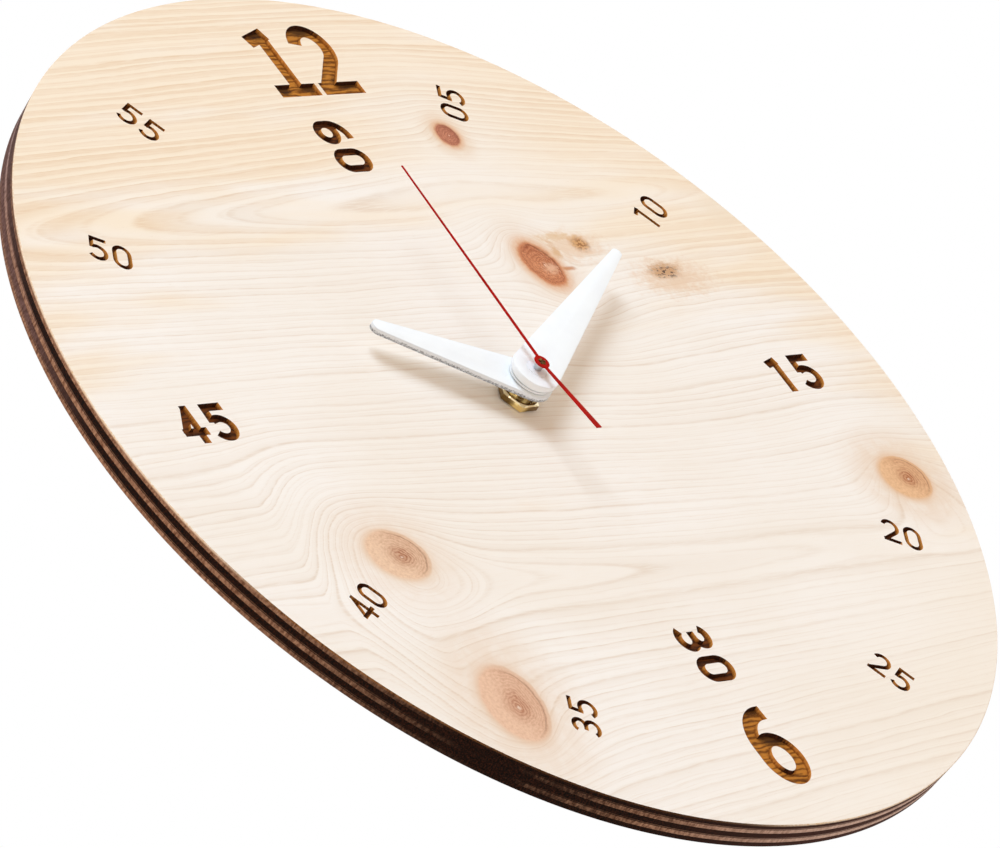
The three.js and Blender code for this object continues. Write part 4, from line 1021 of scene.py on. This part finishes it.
def rivet_star():
    """The tube's end, spread over the boss in a few folds."""
    count, folds, top = 80, 5, 13.78
    profile = [(0.0, top - 0.12), (0.35, top - 0.05), (0.85, top), (1.25, top - 0.05), (1.38, top - 0.14),
               (1.38, top - 0.3)]
    rows = []
    for r, z in profile:
        row = []
        for k in range(count):
            angle = TAU * k / count
            fold = 0.5 + 0.5 * math.cos(folds * angle)
            drawn = 0.3 * (1 - fold) * (r > 0.5)
            dip = 0.25 * (1 - fold) * (0.2 < r < 1.37)
            row.append((r * (1 - drawn), z - dip))
        rows.append(row)
    points, faces = skin(rows, closed=False)
    faces.append(tuple(range(len(points) - count, len(points))))
    return points, faces


piece("second_rivet", *rivet_star(), "second", [], "brass", ["rivet_brass"])

# Movement

# Moulded pieces with their finish and how far their edges are rounded, and pieces that stay as in the CAD
SOFTENED = {
    "front_plate": ("black_plastic", 0.25), "rear_cover": ("black_plastic", 0.25),
    "wall_hanger": ("black_plastic", 0.3), "setting_knob": ("grey_plastic", 0.12),
}
CAD_FINISHES = {
    "brass": ["cannon_pinion"],
    "gear_plastic": ["seconds_wheel", "hour_wheel", "motion_wheel", "centre_wheel", "third_wheel",
                     "intermediate_wheel", "coil_bobbin"],
    "magnet": ["rotor"],
    "steel": ["clutch_spring", "stator", "coil_core", "quartz_crystal", "negative_contact",
              "positive_contact"],
    "black_plastic": ["middle_plate", "control_chip"],
    "copper": ["coil_winding"],
    "board": ["circuit_board"],
    "jacket": ["battery"],
}


def softened(name, finish, width):
    """A moulded piece in the shape of its CAD node, with its edges rounded."""
    source = nodes[name]
    made = add_object(name + "_moulding", source.data.copy())
    work = bmesh.new()
    work.from_mesh(made.data)
    bmesh.ops.remove_doubles(work, verts=work.verts, dist=0.001 * MM)
    bmesh.ops.dissolve_limit(work, angle_limit=math.radians(1), verts=work.verts, edges=work.edges)
    sharp = [e for e in work.edges if len(e.link_faces) == 2 and e.calc_face_angle() > math.radians(35)]
    bmesh.ops.bevel(work, geom=sharp, offset=width * MM, segments=2, profile=0.5, affect="EDGES",
                    clamp_overlap=True)
    work.to_mesh(made.data)
    work.free()
    made.data.materials.clear()
    made.data.materials.append(materials[finish])
    made.data.shade_smooth()
    normals = [Vector() for _ in made.data.vertices]
    for polygon in made.data.polygons:
        for i in polygon.vertices:
            normals[i] += polygon.normal * polygon.area
    made.data.normals_split_custom_set_from_vertices([normal.normalized() for normal in normals])
    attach(made, source["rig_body"])
    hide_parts(name)


for name, (finish, width) in SOFTENED.items():
    softened(name, finish, width)
for finish, names in CAD_FINISHES.items():
    for held in [held for name in names for held in nodes[name].material_slots]:
        held.material = materials[finish]

# Stage, light and camera

def floor_paint():
    """Pale paint that the camera sees almost white, with the object's shadow on it."""
    finish = plastic("floor_paint", (240, 239, 237), (236, 235, 233), 0.8, 0.02)
    tree = finish.node_tree
    shader = tree.nodes["Principled BSDF"]
    shader.inputs["Emission Color"].default_value = (1, 1, 1, 1)
    path = tree.nodes.new("ShaderNodeLightPath")
    tree.links.new(Field(tree, path.outputs["Is Camera Ray"]).math("MULTIPLY", 0.75).socket,
                   shader.inputs["Emission Strength"])
    return finish


# The floor's height and half its side, in metres
FLOOR, REACH = -1.25, 6.0
floor_mesh = bpy.data.meshes.new("floor")
corners = [(-REACH, -REACH), (REACH, -REACH), (REACH, REACH), (-REACH, REACH)]
floor_mesh.from_pydata([(x, y, FLOOR) for x, y in corners], [], [(0, 1, 2, 3)])
floor_mesh.materials.append(floor_paint())
floor = add_object("floor", floor_mesh)

# A warm sky of less than full strength, which the camera, glass and gloss see as plain white
AMBIENT = 0.54
world = bpy.data.worlds.new("studio")
bpy.context.scene.world = world
world.use_nodes = True
tree = world.node_tree
sky = tree.nodes["Background"]
warmth = tree.nodes.new("ShaderNodeMix")
warmth.data_type = "RGBA"
warmth.inputs[6].default_value = (1.04, 0.78, 0.54, 1)
warmth.inputs[7].default_value = (1, 1, 1, 1)
tree.links.new(warmth.outputs[2], sky.inputs["Color"])
path = tree.nodes.new("ShaderNodeLightPath")
seen, bent, glossy = (Field(tree, path.outputs[f"Is {kind} Ray"])
                      for kind in ("Camera", "Transmission", "Glossy"))
shown = seen.most(bent).most(glossy)
seen.feed(warmth.inputs[0], shown)
seen.feed(sky.inputs["Strength"], shown.math("MULTIPLY_ADD", 1 - AMBIENT, AMBIENT))


def lamp(name, direction, away, size, share, colour=(1, 1, 1)):
    """A square soft lamp that adds share of white to a surface square to it."""
    light = bpy.data.lights.new(name, "AREA")
    light.shape, light.size = "SQUARE", size
    light.color = colour
    light.energy = share * math.pi * math.pi * away ** 2
    made = add_object(name, light)
    towards = Vector(direction).normalized()
    made.location = HUB + towards * away
    made.rotation_euler = towards.to_track_quat("Z", "Y").to_euler()


lamp("key", (-0.2, -0.78, 0.64), 3.0, 1.5, 0.66, (0.787, 1.022, 1.261))
lamp("low_fill", (-0.85, -0.15, -0.5), 3.0, 1.5, 0.22)
lamp("left_fill", (-0.9, 0.5, 0.1), 2.0, 1.2, 0.25)
lamp("right_fill", (0.9, 0.6, 0.3), 2.0, 1.2, 0.3)

# The camera of the photo, as fitted to the dial: its lens, its axes and its place in metres
camera = bpy.data.cameras.new("camera")
camera.sensor_fit, camera.sensor_width = "HORIZONTAL", 36.0
camera.lens = 291.85
camera.clip_start, camera.clip_end = 0.05, 50.0
eye = add_object("camera", camera)
right = Vector((0.66713846, -0.50608219, -0.5466325))
up = Vector((0.06906328, -0.68862044, 0.72182557))
forward = Vector((0.74172538, 0.51930983, 0.42445349))
turn = Matrix((right, up, -forward)).transposed().to_4x4()
eye.matrix_world = Matrix.Translation((-1.585076, -1.126671, -0.944641)) @ turn
bpy.context.scene.camera = eye
bpy.context.scene.view_settings.view_transform = "Standard"
